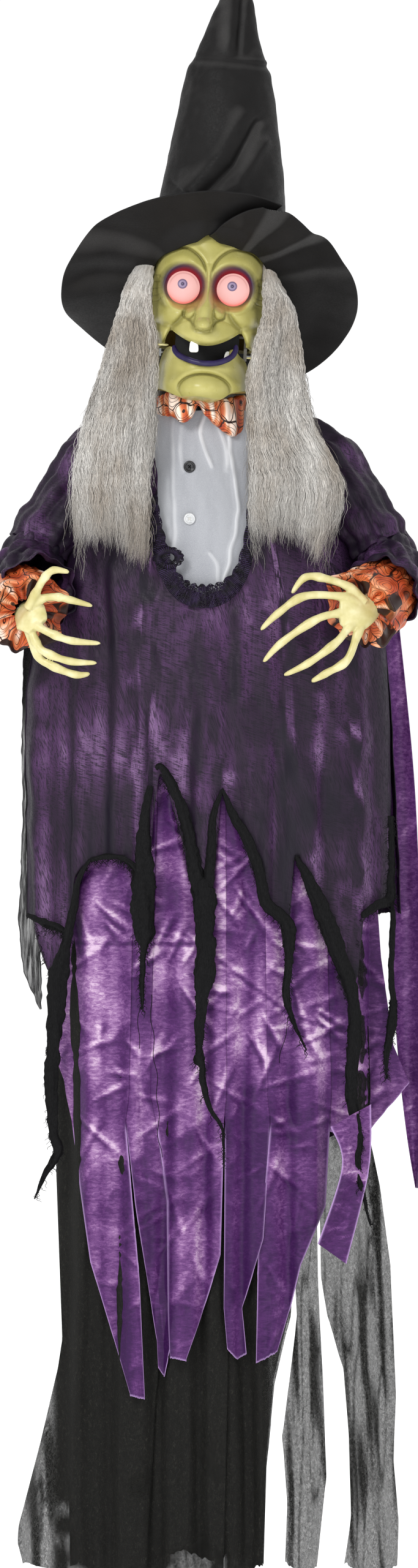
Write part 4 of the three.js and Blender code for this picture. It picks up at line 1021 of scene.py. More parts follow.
def build_jaw():
    rows, columns = 190, 250
    turn = np.linspace(-math.radians(93), math.radians(93), columns)[None, :]
    level = np.linspace(0, 1, rows)[:, None]
    square = np.sign(np.sin(turn)) * np.abs(np.sin(turn)) ** 0.85
    x0 = 49 * square + 0 * level
    top = jaw_rim(x0)
    # The wall runs down to the chin, then the underside turns in towards the throat.
    wall = np.clip(level / 0.74, 0, 1)
    under = np.clip((level - 0.74) / 0.26, 0, 1)
    curl = 1 - np.cos(under * np.pi / 2)
    bottom = JAW_BOTTOM(x0) + 4
    z = top + (bottom - top) * wall - 4 * np.sin(under * np.pi / 2)
    middle = np.interp(z, (-110, -96, -83, -75, -68), (-1.7, -2.3, -3, -3.6, -4))
    x = middle + jaw_half_width(z) * square * (1 - 0.62 * curl)
    lift = np.zeros_like(z)
    chin = np.hypot((x + 0.5) / 28.5, (z + 114) / 16.5)
    lift += 9.5 * np.clip(1 - chin**2, 0, 1) ** 0.75
    arc = bell((chin - 1.02) / 0.07) * step(-122, -108, z)
    lift -= 3.2 * arc
    lift += 2.6 * bell((chin - 1.27) / 0.17) * step(-118, -104, z)
    lift += 3.0 * bell((z + 90) / 5) * bell(x / 30)
    side = np.abs(x + 1.5)
    lift -= 4.0 * bell(np.hypot((side - 37) / 8, (z + 95) / 14))
    lift += 3.0 * bell(np.hypot((side - 47) / 8, (z + 110) / 11))
    front = np.clip(np.cos(turn) * 2.4, 0, 1)
    y = -jaw_front(z) * np.maximum(np.cos(turn), 0) ** 0.8 * (1 - 0.5 * curl) - lift * front * (1 - under)
    y = np.where(np.cos(turn) > 0, y, -4.0 * np.cos(turn))
    x = x + lift * (1 - front) * np.sign(x) * 0.5
    # Painted shade: darker in the chin's groove, in hollows, and on the underside that turns in towards the
    # throat.
    crease = 0.3 * arc + np.clip((blurred(lift, 10, 12) - lift) / 4.0, -0.1, 0.5) + 0.35 * under
    paint = painted(0 * crease, third=np.clip(crease, 0, 1))
    points = from_head(np.stack([x, y, z], -1))
    piece = sheet_piece("jaw", points, np.full(z.shape, 2.4), SKIN, paint=paint)
    finish_piece(piece, "jaw", "jaw_shell")

    bow = along([(-37, -64, -66), (-36, -68, -71), (-31.5, -75, -76.5), (-22, -82.5, -81),
                 (-10, -87.5, -84.2), (1, -88.5, -85), (12, -87, -83.8), (22, -82, -80), (29, -76.5, -75),
                 (32.5, -72, -68.5),
                 (33, -68, -62)], np.linspace(0, 1, 110))
    t = np.linspace(-1, 1, 110)
    girth = 3.3 * np.sqrt(np.clip(1 - np.abs(t) ** 9, 0.06, 1)) + 0.08 * np.sin(t * 31)
    verts, faces = capped(tube(from_head(bow), girth, 28, flat=girth, up=(0, 0, 1)))
    finish_piece(outward(make_mesh("lip_bow", verts, faces, LIP)), "jaw", "lower_lip")


# ---- Hat -------------------------------------------------------------------------------------------------

CROWN_RINGS = [  # height, centre x, centre y, half width, half depth, tilt in degrees
    (0, 0, 0, 70.5, 98.5, 38), (48, 4, 2, 75, 88, 26), (102, 9, 3, 72, 73, 14), (184, 9, -2, 59, 55, 5),
    (256, 8, -7, 46, 37, 0), (294, 10, -7, 31, 26, 0), (325, 12, -7, 19, 16, 0), (373, 13, -6, 2.5, 2.5, 0),
]
CROWN_FOLDS = [  # slack folds that run down to the brim: (x, z) from the top, width and height
    ([(44, 190), (20, 140), (-14, 104)], 5, -6.0), ([(26, 196), (4, 150), (-30, 112)], 10, 5.0),
    ([(52, 168), (26, 118), (-8, 96)], 7, 4.0), ([(-52, 118), (-36, 106), (-22, 100)], 3, -2.5)]
BRIM_FOLDS = [  # folds that run outward: angle, width and height
    (-66, 4.5, -4.0), (-56, 5, 4.5), (-45, 4, -4.5), (-36, 6, 4.0), (-24, 6, -3), (205, 9, -4),
    (222, 8, 3.5), (190, 9, 4), (252, 14, 2.0)]


def build_crown():
    """The hat's slack cone, whose tip folds in along a vertical crease."""
    rows, columns = 230, 220
    t = np.linspace(0, 1, rows)
    ring = along(CROWN_RINGS, t)[:, None, :]
    down = t[:, None]
    turn = full_turn(columns)
    c, s = np.cos(turn), np.sin(turn)
    tilt = np.radians(ring[..., 5])
    base = np.stack([ring[..., 1] + ring[..., 3] * c, ring[..., 2] + ring[..., 4] * s * np.cos(tilt),
                     ring[..., 0] - ring[..., 4] * s * np.sin(tilt)], -1)
    away = np.stack([c + 0 * down, s + 0 * down, 0 * turn + 0 * down], -1)
    x, z = base[..., 0], base[..., 2]
    facing = step(0.1, 0.6, -s + 0 * z)
    dent = np.zeros_like(z)
    # The tip folds in along a vertical crease over a sharp crease that runs round.
    puff = 3.0 * step(-0.3, 0.3, (z - 262) / 10) * bell((z - 272) / 22)
    dent -= 3.0 * bell((z - 258 + 0.04 * x) / 5) + puff
    dent -= 5.0 * bell((x - 20) / 5) * step(258, 280, z) * facing
    dent += 3.0 * bell((x - 6) / 8) * step(258, 280, z) * facing
    for fold, width, height in CROWN_FOLDS:
        dent += height * bell(line_distance(x, z, fold) / width) * facing
    dent += 3.0 * noise(base, 62, 3, 2) + 1.0 * noise(base, 16, 2, 5)
    fade = np.minimum(1, (1 - down) * 8) * step(0, 0.12, down)
    dent = dent * fade
    points = base + away * dent[..., None]
    uv = np.stack([turn * 60 + 0 * down, z], -1)
    shine = sheen(-dent, np.where(s < 0, x, -x), z, 0.9, 0.32)
    shine = shine + 0.25 * noise(base, 30, 2, 3)
    shine += 0.45 * bell((x - 2) / 12) * step(262, 285, z) - 0.3 * bell((x - 27) / 7) * step(262, 275, z)
    paint = np.repeat(np.clip(shine, 0, 1)[..., None], 3, -1)
    crown = sheet_piece("hat_cone", from_head(points), np.full(z.shape, -1.6), HAT, wrap=True, uv=uv,
                        paint=paint)
    finish_piece(crown, "figure", "hat_crown")


def build_brim():
    """One long flap: at the front its end laps over its start, which makes the notch over the forehead."""
    rows, columns = 70, 460
    out = np.linspace(0, 1, rows)[:, None]
    begin, finish = np.radians(-93 + 22 * out), math.radians(297)
    c = np.linspace(0, 1, columns)[None, :]
    turn = begin + (finish - begin) * c
    slope = math.radians(BRIM_SLOPE)
    x = (70 + 98 * out) * np.cos(turn)
    run = (98 + 71 * out) * np.sin(turn)
    p = np.stack([x, run * math.cos(slope), -run * math.sin(slope)], -1)
    behind = step(-0.2, 0.5, np.sin(turn))
    wave = (9 * np.sin(2 * turn + 2.4) + 6 * np.sin(3 * turn + 0.6)) * behind + 2.5 * np.sin(5 * turn + 2.0)
    lift = wave * out**1.6
    since = (turn - begin) / math.radians(50)
    left_over = (finish - turn) / math.radians(60)
    lap = -6.5 * bell(since) + 4.5 * bell(left_over)
    lift = lift + lap * step(-0.1, 0.3, out)
    fold = 0.0
    for at, width, depth in BRIM_FOLDS:
        fold = fold + depth * bell((turn - math.radians(at) + 0.12 * (out - 0.5)) / math.radians(width))
    lift = lift + fold * step(-0.1, 0.5, out) * 0.9 + 1.6 * noise(p, 42, 3, 4) * out
    p = p + np.stack([0 * x, np.sin(slope) * lift, np.cos(slope) * lift], -1)
    near = np.abs(x + 4.6)
    p[..., 2] -= 7 * step(0, 15, near) * step(60, 34, near) * step(0.35, 0, out) * (np.sin(turn) < 0)
    p[..., 2] -= 9 * step(0.55, 1.0, out) * np.cos(turn) ** 4
    uv = np.stack([x, run], -1)
    shine = np.clip(0.36 + 1.1 * np.gradient(fold, axis=1) / np.gradient(turn * 90, axis=1), 0, 1)
    gleam = 0.22 * bell((turn - math.radians(-62)) / 0.35) * step(0.2, 0.5, out)
    shine = shine + 0.2 * noise(p, 30, 2, 8) + gleam
    shine = shine - 0.25 * bell((turn - math.radians(262)) / 0.6)
    paint = np.repeat(np.clip(shine, 0, 1)[..., None], 3, -1)
    brim = sheet_piece("hat_rim", from_head(p), np.full(x.shape, 1.4), HAT, uv=uv, paint=paint)
    finish_piece(outward(brim), "figure", "hat_brim")


# ---- Body outline ----------------------------------------------------------------------------------------

cloth_half_width = graph((-1280, 214), (-1000, 209), (-800, 208), (-700, 205), (-640, 200), (-600, 190),
                         (-560, 174), (-520, 156), (-480, 140), (-440, 126), (-414, 118), (-398, 106))
robe_half_width = graph((-1280, 214), (-1000, 200), (-800, 197), (-700, 190), (-620, 172), (-560, 146),
                        (-500, 130), (-440, 122), (-414, 116), (-398, 104))
robe_half_depth = graph((-1280, 104), (-1000, 96), (-800, 92), (-600, 84), (-500, 76), (-440, 62),
                        (-414, 44), (-398, 24))
skirt_half_width = graph((-1703, 214), (-1500, 190), (-1300, 178), (-1000, 180), (-800, 178), (-620, 150),
                         (-500, 110), (-440, 100), (-420, 92))


def oval_point(x_angle, z, half_width, half_depth, push):
    """A point on the body's oval, pushed outwards. The angle runs from pi to 2 pi across the front."""
    c, s = np.cos(x_angle), np.sin(x_angle)
    return np.stack([c * (half_width + push), BODY_Y + s * (half_depth + push), z + 0 * c], -1)


def front_y(x, z, proud):
    """The robe's front surface, or that much proud of it."""
    reach = np.sqrt(np.clip(1 - np.square(x / (cloth_half_width(z) + 9)), 0.02, 1))
    return BODY_Y - (robe_half_depth(z) + proud) * reach


def hanging_folds(x, z, seed, top, bottom, strength=1.0):
    """Folds of hanging cloth: broad flutes that sharpen and deepen downwards, wandering a little."""
    drop = step(top, bottom, z)
    flat = np.stack([x, 0 * x + seed * 40, z * 0.18], -1)
    wander = 26 * noise(flat, 140, 2, seed)
    phase = (x + wander) / 52 * 2 * np.pi
    flute = np.sin(phase) + 0.45 * np.sin(2.1 * phase + 1.3) + 0.3 * np.sin(0.43 * phase + 2)
    small = flat_noise(x, z * 0.12, 16, 2, seed + 3, seed)
    return strength * (flute * (2.0 + 5.5 * drop) + small * (1.5 + 1.5 * drop))


# ---- Hair ------------------------------------------------------------------------------------------------

HANKS = {  # height, inner edge, outer edge, middle's y; from the temple down to the ends
    "right": [(-192, -60, -64, -50), (-205, -61, -69, -58), (-217, -62, -80, -70), (-230, -64, -89, -80),
              (-249, -66, -96, -92), (-283, -64, -105, -101), (-314, -60, -114, -105),
              (-340, -59, -122, -105), (-370, -62, -132, -106), (-400, -62, -140, -107),
              (-432, -64, -148, -109), (-464, -68, -151, -112), (-495, -68, -152, -113),
              (-525, -68, -150, -112), (-556, -71, -147, -111)],
    "left": [(-194, 58, 62, -50), (-207, 59, 66, -58), (-222, 61, 71, -72), (-238, 62, 79, -84),
             (-256, 63, 88, -95), (-275, 62, 95, -102), (-307, 52, 101, -105), (-338, 45, 105, -106),
             (-382, 45, 112, -107), (-413, 46, 124, -109), (-440, 45, 139, -111), (-465, 45, 150, -113),
             (-490, 44, 150, -114), (-515, 47, 144, -114), (-556, 54, 132, -112)],
}
HANK_ENDS = {
    "right": graph((-152, -512), (-146, -530), (-131, -534), (-120, -530), (-110, -536), (-98, -541),
                   (-92, -548), (-82, -551), (-73, -556), (-66, -548)),
    "left": graph((44, -508), (52, -522), (68, -530), (80, -526), (95, -531), (104, -536), (112, -543),
                  (122, -554), (128, -545), (134, -524), (141, -505), (150, -480)),
}
HANK_FOOT = -530.0
STRAND_SECTION = np.array([(math.cos(a), math.sin(a), 0) for a in (0.5, 2.6, 4.7)])


def hank_points(rows, z, u, w):
    """A place in a hank: at a height, u across it from -1 to 1, and w from its middle to its front."""
    table = np.asarray(rows, float)[::-1]
    inner, outer, middle = (np.interp(z, table[:, 0], table[:, k]) for k in (1, 2, 3))
    thickness = np.interp(z, (-556, -520, -420, -300, -230, -198), (10, 14, 15, 12, 8, 2))
    x = (inner + outer) / 2 + u * np.abs(outer - inner) / 2
    y = middle - thickness * w * np.sqrt(np.clip(1 - u * u, 0, 1))
    return np.stack([x + 0 * z, y, z + 0 * u], -1)


def hair_locks(points):
    """How far forward the locks stand."""
    return noise(points * (1, 1, 0.12), 9, 3, 3) * 3.4 + noise(points * (1, 1, 0.04), 24, 2, 8) * 5


def hair_core(side, rows, top):
    """The body of a hank, which its strands lie over."""
    level = np.linspace(0, 1, 160)[:, None]
    turn = full_turn(170)
    across = 0.93 * np.cos(turn)
    foot = hank_points(rows, np.full_like(across, HANK_FOOT), across, 0 * across)[..., 0]
    ragged = 7 * noise(np.stack([foot, np.sin(turn) * 30, 0 * foot], -1), 9, 3, 5)
    bottom = HANK_ENDS[side](foot) + 26 + ragged
    z = top + (bottom - top) * level
    thinned = np.interp(level, (0, 0.88, 1), (0.96, 0.96, 0.3))
    core = hank_points(rows, z, across + 0 * level, thinned * np.sin(turn))
    locks = hair_locks(core)
    crimp = 0.6 * np.sin(core[..., 2] * 0.95 + 4 * noise(core * (1, 1, 0.2), 12, 2, 1))
    core = core + np.stack([0 * locks, -(locks + crimp) * step(-205, -240, z), 0 * locks], -1)
    verts, faces = capped(core)
    # Painted shade: the core is darker where its locks sink back, and darker still at its capped ends.
    dark = np.clip(0.12 - 0.09 * locks, 0.0, 0.8).reshape(-1)
    piece = make_mesh(f"hair_core_{side}", verts, faces, HAIR, paint=painted(np.append(dark, [0.6, 0.6])))
    finish_piece(outward(piece), "figure", f"hair_hank_{side}")


def add_strands(name, side, lines, radius, paint):
    """Fine three-sided strands along many lines at once, as one piece."""
    count, steps = lines.shape[:2]
    rings = lines[:, :, None, :] + radius[..., None, None] * STRAND_SECTION
    first = np.arange(count) * steps * 3
    one = grid_faces(steps, 3, wrap=True)
    faces = (one[None] + first[:, None, None]).reshape(-1, 4)
    ends = np.concatenate([np.stack([first + 2, first + 1, first], 1),
                           np.stack([first, first + 1, first + 2], 1) + (steps - 1) * 3])
    piece = make_mesh(f"{name}_{side}", rings.reshape(-1, 3), [faces, ends], HAIR, paint=paint)
    finish_piece(piece, "figure", f"hair_hank_{side}")


def hair_strands(side, rows, top, rng):
    """Crimped strands that run down a hank, gathered into locks towards its ends."""
    count, steps = 1500, 64
    u = rng.uniform(-1, 1, count)
    u = np.sign(u) * np.abs(u) ** 0.85
    w = np.where(rng.random(count) < 0.85, rng.uniform(0.98, 1.1, count), rng.uniform(-1.0, 0.9, count))
    begin = np.where(rng.random(count) < 0.6, rng.uniform(0, 0.05, count), rng.uniform(0.05, 0.6, count))
    lock = np.round(u * 7 + rng.normal(0, 0.15, count)) / 7
    s = np.linspace(0, 1, steps)[None, :]
    foot = hank_points(rows, np.full(count, HANK_FOOT), u * 0.96, 0 * u)[:, 0]
    end = HANK_ENDS[side](foot) + rng.normal(0, 7, count) + 5
    short = rng.random(count) < 0.14
    end = np.where(short, end + rng.uniform(10, 90, count), end)
    start = top + (end - top) * begin
    z = start[:, None] + (end - start)[:, None] * s
    gather = step(-440, -545, z)
    spread = u[:, None] * (1 - 0.3 * gather) + lock[:, None] * 0.3 * gather
    layer = 0 * lock + SIDES[side]
    body = flat_noise(lock * 40, layer, 30, 1, 4)[:, None] * 7 * step(-260, -420, z)
    strand = hank_points(rows, z, spread, w[:, None] + 0 * z)
    soft = step(top, top - 60, z)
    strand[..., 1] -= (hair_locks(strand) + 0.25 * body) * soft + 0.6
    phase = rng.uniform(0, 6.3, (count, 1))
    wiggle = np.stack([
        0.9 * np.sin(z / 2.9 + phase) + 2.4 * np.sin(z / 17 + phase * 2) * soft,
        0.7 * np.cos(z / 3.3 + phase) + 1.6 * np.sin(z / 27 + phase) * soft, 0 * z], -1)
    sway = noise(strand * (1, 1, 0.25), 13, 2, 6)[..., None] * (4.0, 1.2, 0) * soft[..., None]
    strand = strand + wiggle + sway
    fly = (rng.random(count) < 0.08)[:, None] * rng.uniform(-1, 1, (count, 1))
    strand[..., 0] += fly * 16 * s**2
    taper = np.interp(s[0], (0, 0.1, 0.8, 1), (0.5, 0.9, 0.75, 0.12))
    radius = rng.uniform(0.18, 0.4, count)[:, None] * taper
    tone = rng.normal(0, 1, (count, 1)) + 0.9 * noise(strand * (1, 1, 0.2), 26, 2, 11) * 2
    low = step(-500, -560, z) * 0.25
    dark = np.clip(0.22 * tone + low - 0.05, 0, 0.75)
    light = np.clip(-0.3 * tone + 0.05, 0, 0.9)
    paint = np.repeat(painted(dark, light).reshape(-1, 3), 3, 0)
    add_strands("hair_strands", side, strand, radius, paint)


def hair_frizz(side, rows, rng):
    """Dark frizz that strays from the inner edge and the ends, over the shirt and the shoulder."""
    count, steps = 420, 26
    edge = rng.choice([-1.0, 1.0], count, p=[0.5, 0.5])
    z0 = rng.uniform(-520, -330, count)
    s = np.linspace(0, 1, steps)[None, :]
    z = z0[:, None] - rng.uniform(18, 60, (count, 1)) * s
    z = np.maximum(z, -575)
    u = edge[:, None] * rng.uniform(0.8, 1.02, (count, 1)) + 0 * z
    line = hank_points(rows, np.clip(z, -556, -200), u, 0.6 + 0 * z)
    reach = rng.uniform(2, 7, (count, 1))
    curl = reach * np.sin(s * rng.uniform(3, 9, (count, 1)) + rng.uniform(0, 6, (count, 1)))
    line[..., 0] += edge[:, None] * rng.uniform(-3, 7, (count, 1)) * s + curl * 0.5
    line[..., 1] += rng.uniform(-2, 8, (count, 1)) + curl * 0.2
    line[..., 2] = z
    radius = 0.2 * np.interp(s, (0, 0.8, 1), (1, 0.9, 0.4)) + 0 * z
    add_strands("hair_frizz", side, line, radius, np.tile((0.62, 0.0, 0.0), (count * steps * 3, 1)))


def build_hair():
    rng = np.random.default_rng(5)
    for side, rows in HANKS.items():
        top = rows[0][0] - 7
        hair_core(side, rows, top)
        hair_strands(side, rows, top, rng)
        hair_frizz(side, rows, rng)


def build_nape_hair():
    rows, columns = 120, 200
    t = np.linspace(0, 1, rows)[:, None]
    u = np.linspace(-1, 1, columns)[None, :]
    ends = 9 * flat_noise(u * 120, 0 * u, 16, 3, 2)
    top = -300 - 40 * np.cos(u * math.pi / 2)
    z = top + (-548 - top) * t - (6 * np.sin(u * 17) + ends) * t**3
    over_robe = step(-350, -420, z)
    spread = 84 + (cloth_half_width(z) - 82) * over_robe
    depth = 66 + np.maximum(robe_half_depth(z) - 56, 0) * over_robe
    turn = u * math.pi * (0.5 - 0.14 * step(-395, -440, z))
    base = np.stack([np.sin(turn) * spread, BODY_Y + np.cos(turn) * depth, z], -1)
    locks = noise(base * (1, 1, 0.1), 10, 3, 4) * 3.2 + noise(base * (1, 1, 0.02), 30, 2, 7) * 3
    crimp = 0.3 * np.sin(z * 0.9 + 14 * noise(base * (1, 1, 0.2), 12, 2, 1))
    push = (locks + crimp)[..., None]
    base = base + np.stack([np.sin(turn) + 0 * z, np.cos(turn) + 0 * z, 0 * z], -1) * push
    # Painted shade where the locks sink back, and a painted highlight where they stand out.
    dark = np.clip(0.32 - locks * 0.13, 0, 0.85)
    paint = painted(dark + 0.1, np.clip(locks * 0.04, 0, 0.3))
    piece = sheet_piece("hair_back", base, np.full(z.shape, -7.0), HAIR, paint=paint)
    finish_piece(outward(piece), "figure", "hair_nape")


# ---- Robe ------------------------------------------------------------------------------------------------

ROBE_HEM = graph(
    (-205, -955), (-197, -960), (-182, -1015), (-168, -1015), (-157, -985), (-146, -908), (-132, -890),
    (-95, -887), (-84, -903), (-80, -975), (-68, -975), (-62, -840), (-55, -792), (-46, -811), (-29, -873),
    (-15, -942), (-9, -1000), (0, -1000), (6, -905), (14, -812), (23, -825), (54, -915), (64, -942),
    (81, -963), (87, -1010), (91, -949), (96, -887), (101, -887), (109, -915), (130, -977), (150, -1032),
    (160, -1062), (166, -1000), (170, -958), (178, -949), (204, -935), (212, -860), (216, -818))
NECKLINE = graph((-75, -404), (-66, -412), (-60, -440), (-57, -500), (-46, -556), (-26, -583), (-6, -590),
                 (16, -585), (34, -560), (44, -510), (48, -450), (56, -414), (64, -404))
DRAPE_LINES = [  # long slanting folds of the robe, (x, z) from the top
    [(-112, -560), (-96, -660), (-84, -780)], [(-70, -600), (-66, -700), (-70, -790)],
    [(60, -610), (74, -700), (100, -800), (112, -880)], [(30, -615), (34, -700), (24, -790)],
    [(-20, -620), (-22, -700), (-30, -770)], [(96, -640), (120, -700), (150, -790), (165, -900)],
    [(122, -700), (140, -742), (172, -760)], [(118, -735), (140, -800), (178, -838)],
    [(-130, -700), (-140, -800), (-150, -880)], [(-6, -640), (0, -760), (-10, -900)]]


def draped(x, z):
    """Height of the robe's long slanting folds."""
    total = np.zeros_like(x)
    for i, line in enumerate(DRAPE_LINES):
        gap = line_distance(x + 4 * np.sin(z / 37 + i), z, line)
        total += (3.4 - 0.2 * i) * bell(gap / (7.5 + i % 3))
    return total


def solved(table, c, width):
    """The height where columns that fan out with a width meet a line that is given by x."""
    z = table(150 * c)
    for _ in range(12):
        z = 0.5 * z + 0.5 * table(width(z) * c)
    return z


def robe_top(x):
    shoulder = -402 - 0.12 * np.maximum(np.abs(x) - 70, 0)
    return np.where(np.abs(x) > 70, shoulder, NECKLINE(x))


def robe_nape(x):
    return np.interp(np.abs(x), (0, 62, 74, 118), (-418, -418, -404, -408))


def back_hem(x):
    ragged = 40 * flat_noise(x, 0 * x, 26, 3, 5)
    return np.where(np.abs(x) > 180, -950, -1010 + 105 * np.sin(x / 21) - ragged)


def robe_half(name, begin, top_line, hem_line, seed, node):
    """The front or the back of the robe, from an angle round the body to half a turn further on."""
    rows, columns = 104, 420
    turn = np.linspace(begin - ROBE_OVERLAP, begin + np.pi + ROBE_OVERLAP, columns)[None, :]
    t = np.linspace(0, 1, rows)[:, None]
    hem = solved(hem_line, np.cos(turn), cloth_half_width)
    hem = hem + 4 * flat_noise(turn * 200, 0 * turn, 7, 3, 2)
    top = solved(top_line, np.cos(turn), cloth_half_width)
    z = top + (hem - top) * t**1.1
    x = np.cos(turn) * cloth_half_width(z)
    folds = 0.5 * hanging_folds(x, z, seed, -520, -980) * step(-405, -520, z) + draped(x, z)
    flat = np.stack([x, 0 * x + seed, z * 0.8], -1)
    swag = 3.4 * noise(flat, 52, 3, 6) * step(-500, -600, z)
    drawn = 1.8 * flat_noise(x * 0.9 + z * 0.35, z * 0.16, 15, 3, 4, seed)
    push = np.maximum(folds + swag + drawn + 1, -2.0)
    points = oval_point(turn, z, cloth_half_width(z), robe_half_depth(z), push)
    edge = bell((z - hem) / 3.0)
    light = sheen(folds + 1.3 * swag + 1.1 * drawn, x, z, 0.62, 0.42)
    light = light + 0.5 * noise(flat, 62, 2, 9) + 0.02 * step(-560, -700, z) - 0.2 * bell((z - hem) / 22)
    thickness = np.full(z.shape, ROBE_THICKNESS)
    piece = sheet_piece(name, points, thickness, ROBE, paint=painted(np.clip(light, 0, 1), edge))
    finish_piece(piece, "figure", node)


def build_robe():
    robe_half("robe_front_cloth", np.pi, robe_top, ROBE_HEM, 1, "robe_front")
    robe_half("robe_back_cloth", 0.0, robe_nape, back_hem, 4, "robe_back")


# Rolled strips that edge the robe's points and hang from them: x, z and half width down each one.
GAUZE_BANDS = [
    [(-134, -889, 2), (-146, -909, 3), (-153, -945, 4), (-162, -987, 5), (-169, -1017, 9.7),
     (-174, -1077, 8), (-178, -1137, 6.8), (-175, -1197, 5.3), (-171, -1218, 5), (-186, -1245, 3),
     (-197, -1272, 0.8)],
    [(-66, -806, 3), (-72, -837, 5), (-74, -867, 8), (-74, -903, 11), (-74, -945, 11.5), (-74, -972, 10),
     (-74, -986, 5), (-74, -999, 3), (-75, -1032, 2.6), (-76, -1058, 0.8)],
    [(-60, -787, 2), (-54, -785, 3.5), (-41, -807, 5), (-29, -837, 5.5), (-21, -873, 6), (-12, -915, 8),
     (-8, -935, 4)],
    [(14.5, -810, 1.5), (4.4, -843, 4), (3, -879, 5), (0, -909, 6), (-6, -921, 12), (-4.6, -957, 9.5),
     (-3, -987, 9.5), (-5, -1017, 12), (-9, -1041, 7.5), (-10, -1077, 5), (-11, -1104, 3.6), (-12, -1113, 6),
     (-8, -1122, 3.2), (-7.6, -1137, 3.4), (1.4, -1170, 2.6), (15, -1193, 1.4), (16.5, -1232, 0.5)],
    [(15, -809, 1.5), (28.5, -840, 4.5), (46.5, -873, 5), (57, -903, 5), (64.5, -936, 6), (82.6, -954, 6),
     (90, -969, 7), (90, -993, 4.5), (88.6, -1017, 4), (87, -1041, 4), (93, -1065, 2.5), (100.6, -1086, 1.5),
     (111, -1104, 0.5)],
    [(98, -885, 1.5), (109.6, -906, 5), (124.7, -939, 8), (136.7, -969, 8), (147, -999, 8),
     (157.7, -1023, 7.5), (163.7, -1053, 6.5), (163.7, -1092, 7.5), (160.7, -1137, 6.5), (162, -1167, 6),
     (168, -1203, 5.5), (166, -1232, 5), (174, -1268, 2.6), (182, -1302, 0.8)],
    [(172, -953, 2), (176, -951, 4), (191, -940, 5), (205, -933, 5), (207, -897, 3.5), (206, -840, 3)],
    [(207, -935, 2), (208, -963, 3), (206, -1005, 3), (208, -1047, 3.5), (207, -1077, 5), (201, -1107, 3.5),
     (200, -1137, 0.8)],
    [(-205, -952, 2), (-196, -956, 3.5), (-184, -962, 4), (-172, -965, 4), (-160, -972, 3)],
    [(-134, -890, 2), (-118, -886, 3), (-100, -887, 3), (-86, -895, 3.5), (-78, -908, 4)],
]
LOOSE_THREADS = [[(-66, -1041), (-63, -1090), (-58, -1150), (-57, -1190), (-54, -1224)],
                 [(93, -1060), (84, -1092), (80, -1118)], [(-76, -1050), (-80, -1080), (-78, -1102)]]


def build_tails():
    parts = []
    rng = np.random.default_rng(3)

    def thread(start, drop, swing, width):
        q = np.linspace(0, 1, 12)[:, None]
        wave = swing * q**2 + 1.2 * np.sin(q * 9 + start[0])
        line = start + np.concatenate([wave, -1.0 * q, -drop * q], 1)
        parts.append(capped(tube(line, np.interp(q[:, 0], (0, 1), (width, 0.2)), 4)))

    for k, rows in enumerate(GAUZE_BANDS):
        steps = 40 + 10 * len(rows)
        s = np.linspace(0, 1, steps)
        line = along(rows, s)
        x, z, half = line[:, 0], line[:, 1], np.maximum(line[:, 2], 0.5)
        spine = np.stack([x, front_y(x, z, 8.5 + 2.0 * step(-900, -1000, z)), z], 1)
        spine += np.stack([noise(spine, 18, 2, k) * 1.6, noise(spine, 33, 2, k + 9) * 1.6, 0 * x], 1)
        rings = tube(spine, half, 22, flat=half * 0.38 + 0.9)
        turn = full_turn(22)
        twist = 3.0 * flat_noise(0 * z, z, 90, 1, 2, k * 30)[:, None] + 3 * s[:, None]
        pleat = 1 + 0.16 * np.sin(4 * turn + twist * 2) + 0.09 * np.sin(9 * turn - twist * 3)
        pleat = pleat + 0.30 * noise(rings, 6, 3, 4)
        centre = rings.mean(1, keepdims=True)
        parts.append(capped(centre + (rings - centre) * pleat[..., None]))
        for _ in range(60):
            i = int(rng.uniform(0.3, 1.0) ** 0.6 * (steps - 1))
            side = rng.choice([-1.0, 1.0])
            start = spine[i] + (side * half[i] * 0.9, -1.0, 0)
            thread(start, rng.uniform(3, 13), side * rng.uniform(0, 6), 0.4)
    for rows in LOOSE_THREADS:
        line = along([(x, 0, z) for x, z in rows], np.linspace(0, 1, 60))
        line[:, 1] = front_y(line[:, 0], line[:, 2], 9)
        line[:, 0] += 1.5 * np.sin(line[:, 2] / 7)
        parts.append(capped(tube(line, 0.45, 5)))
    # Threads fray from the hem all the way along.
    for x in rng.uniform(-196, 200, 320):
        z = float(ROBE_HEM(x)) + rng.uniform(-2, 3)
        start = np.array([x, front_y(x, z, 5.0), z])
        thread(start, rng.uniform(3, 11), rng.uniform(-4, 4), 0.36)
    verts, faces = joined(parts)
    piece = make_mesh("gauze_bands", verts, faces, GAUZE)
    finish_piece(outward(piece), "figure")


# ---- Skirts ----------------------------------------------------------------------------------------------

PACKING_CREASE = [(-155, -984), (-14, -984), (10, -1002), (49, -1032), (94, -1065), (137, -1080),
                  (206, -1089)]


def satin_creases():
    """Sharp creases from packing, as (x, z, lean, half length, strength)."""
    rng = np.random.default_rng(21)
    rows = []
    for _ in range(210):
        z = rng.uniform(-1440, -840)
        lean = rng.normal(0.45, 0.5) if rng.random() < 0.6 else rng.normal(-0.6, 0.4)
        rows.append((rng.uniform(-175, 205), z, lean, rng.uniform(9, 34), rng.uniform(0.4, 1.0)))
    return rows


SATIN_CREASES = satin_creases()


def creased(x, z):
    """Light and dark sides of the sharp creases: positive where one catches the light."""
    total = np.zeros_like(x)
    for cx, cz, lean, half, strength in SATIN_CREASES:
        if cx < x.min() - 40 or cx > x.max() + 40:
            continue
        c, s = math.cos(lean), math.sin(lean)
        run, off = (x - cx) * c + (z - cz) * s, (z - cz) * c - (x - cx) * s
        off = off - 0.004 * run * run / half * 6
        fade = np.exp(-np.square(run / half) ** 2)
        width = 2.3 + 2.4 * (run / half + 1).clip(0, 2) * 0.5
        total += strength * fade * (bell((off - width) / width)
                                    - 0.9 * bell((off + width * 0.6) / (width * 0.8)))
    return total


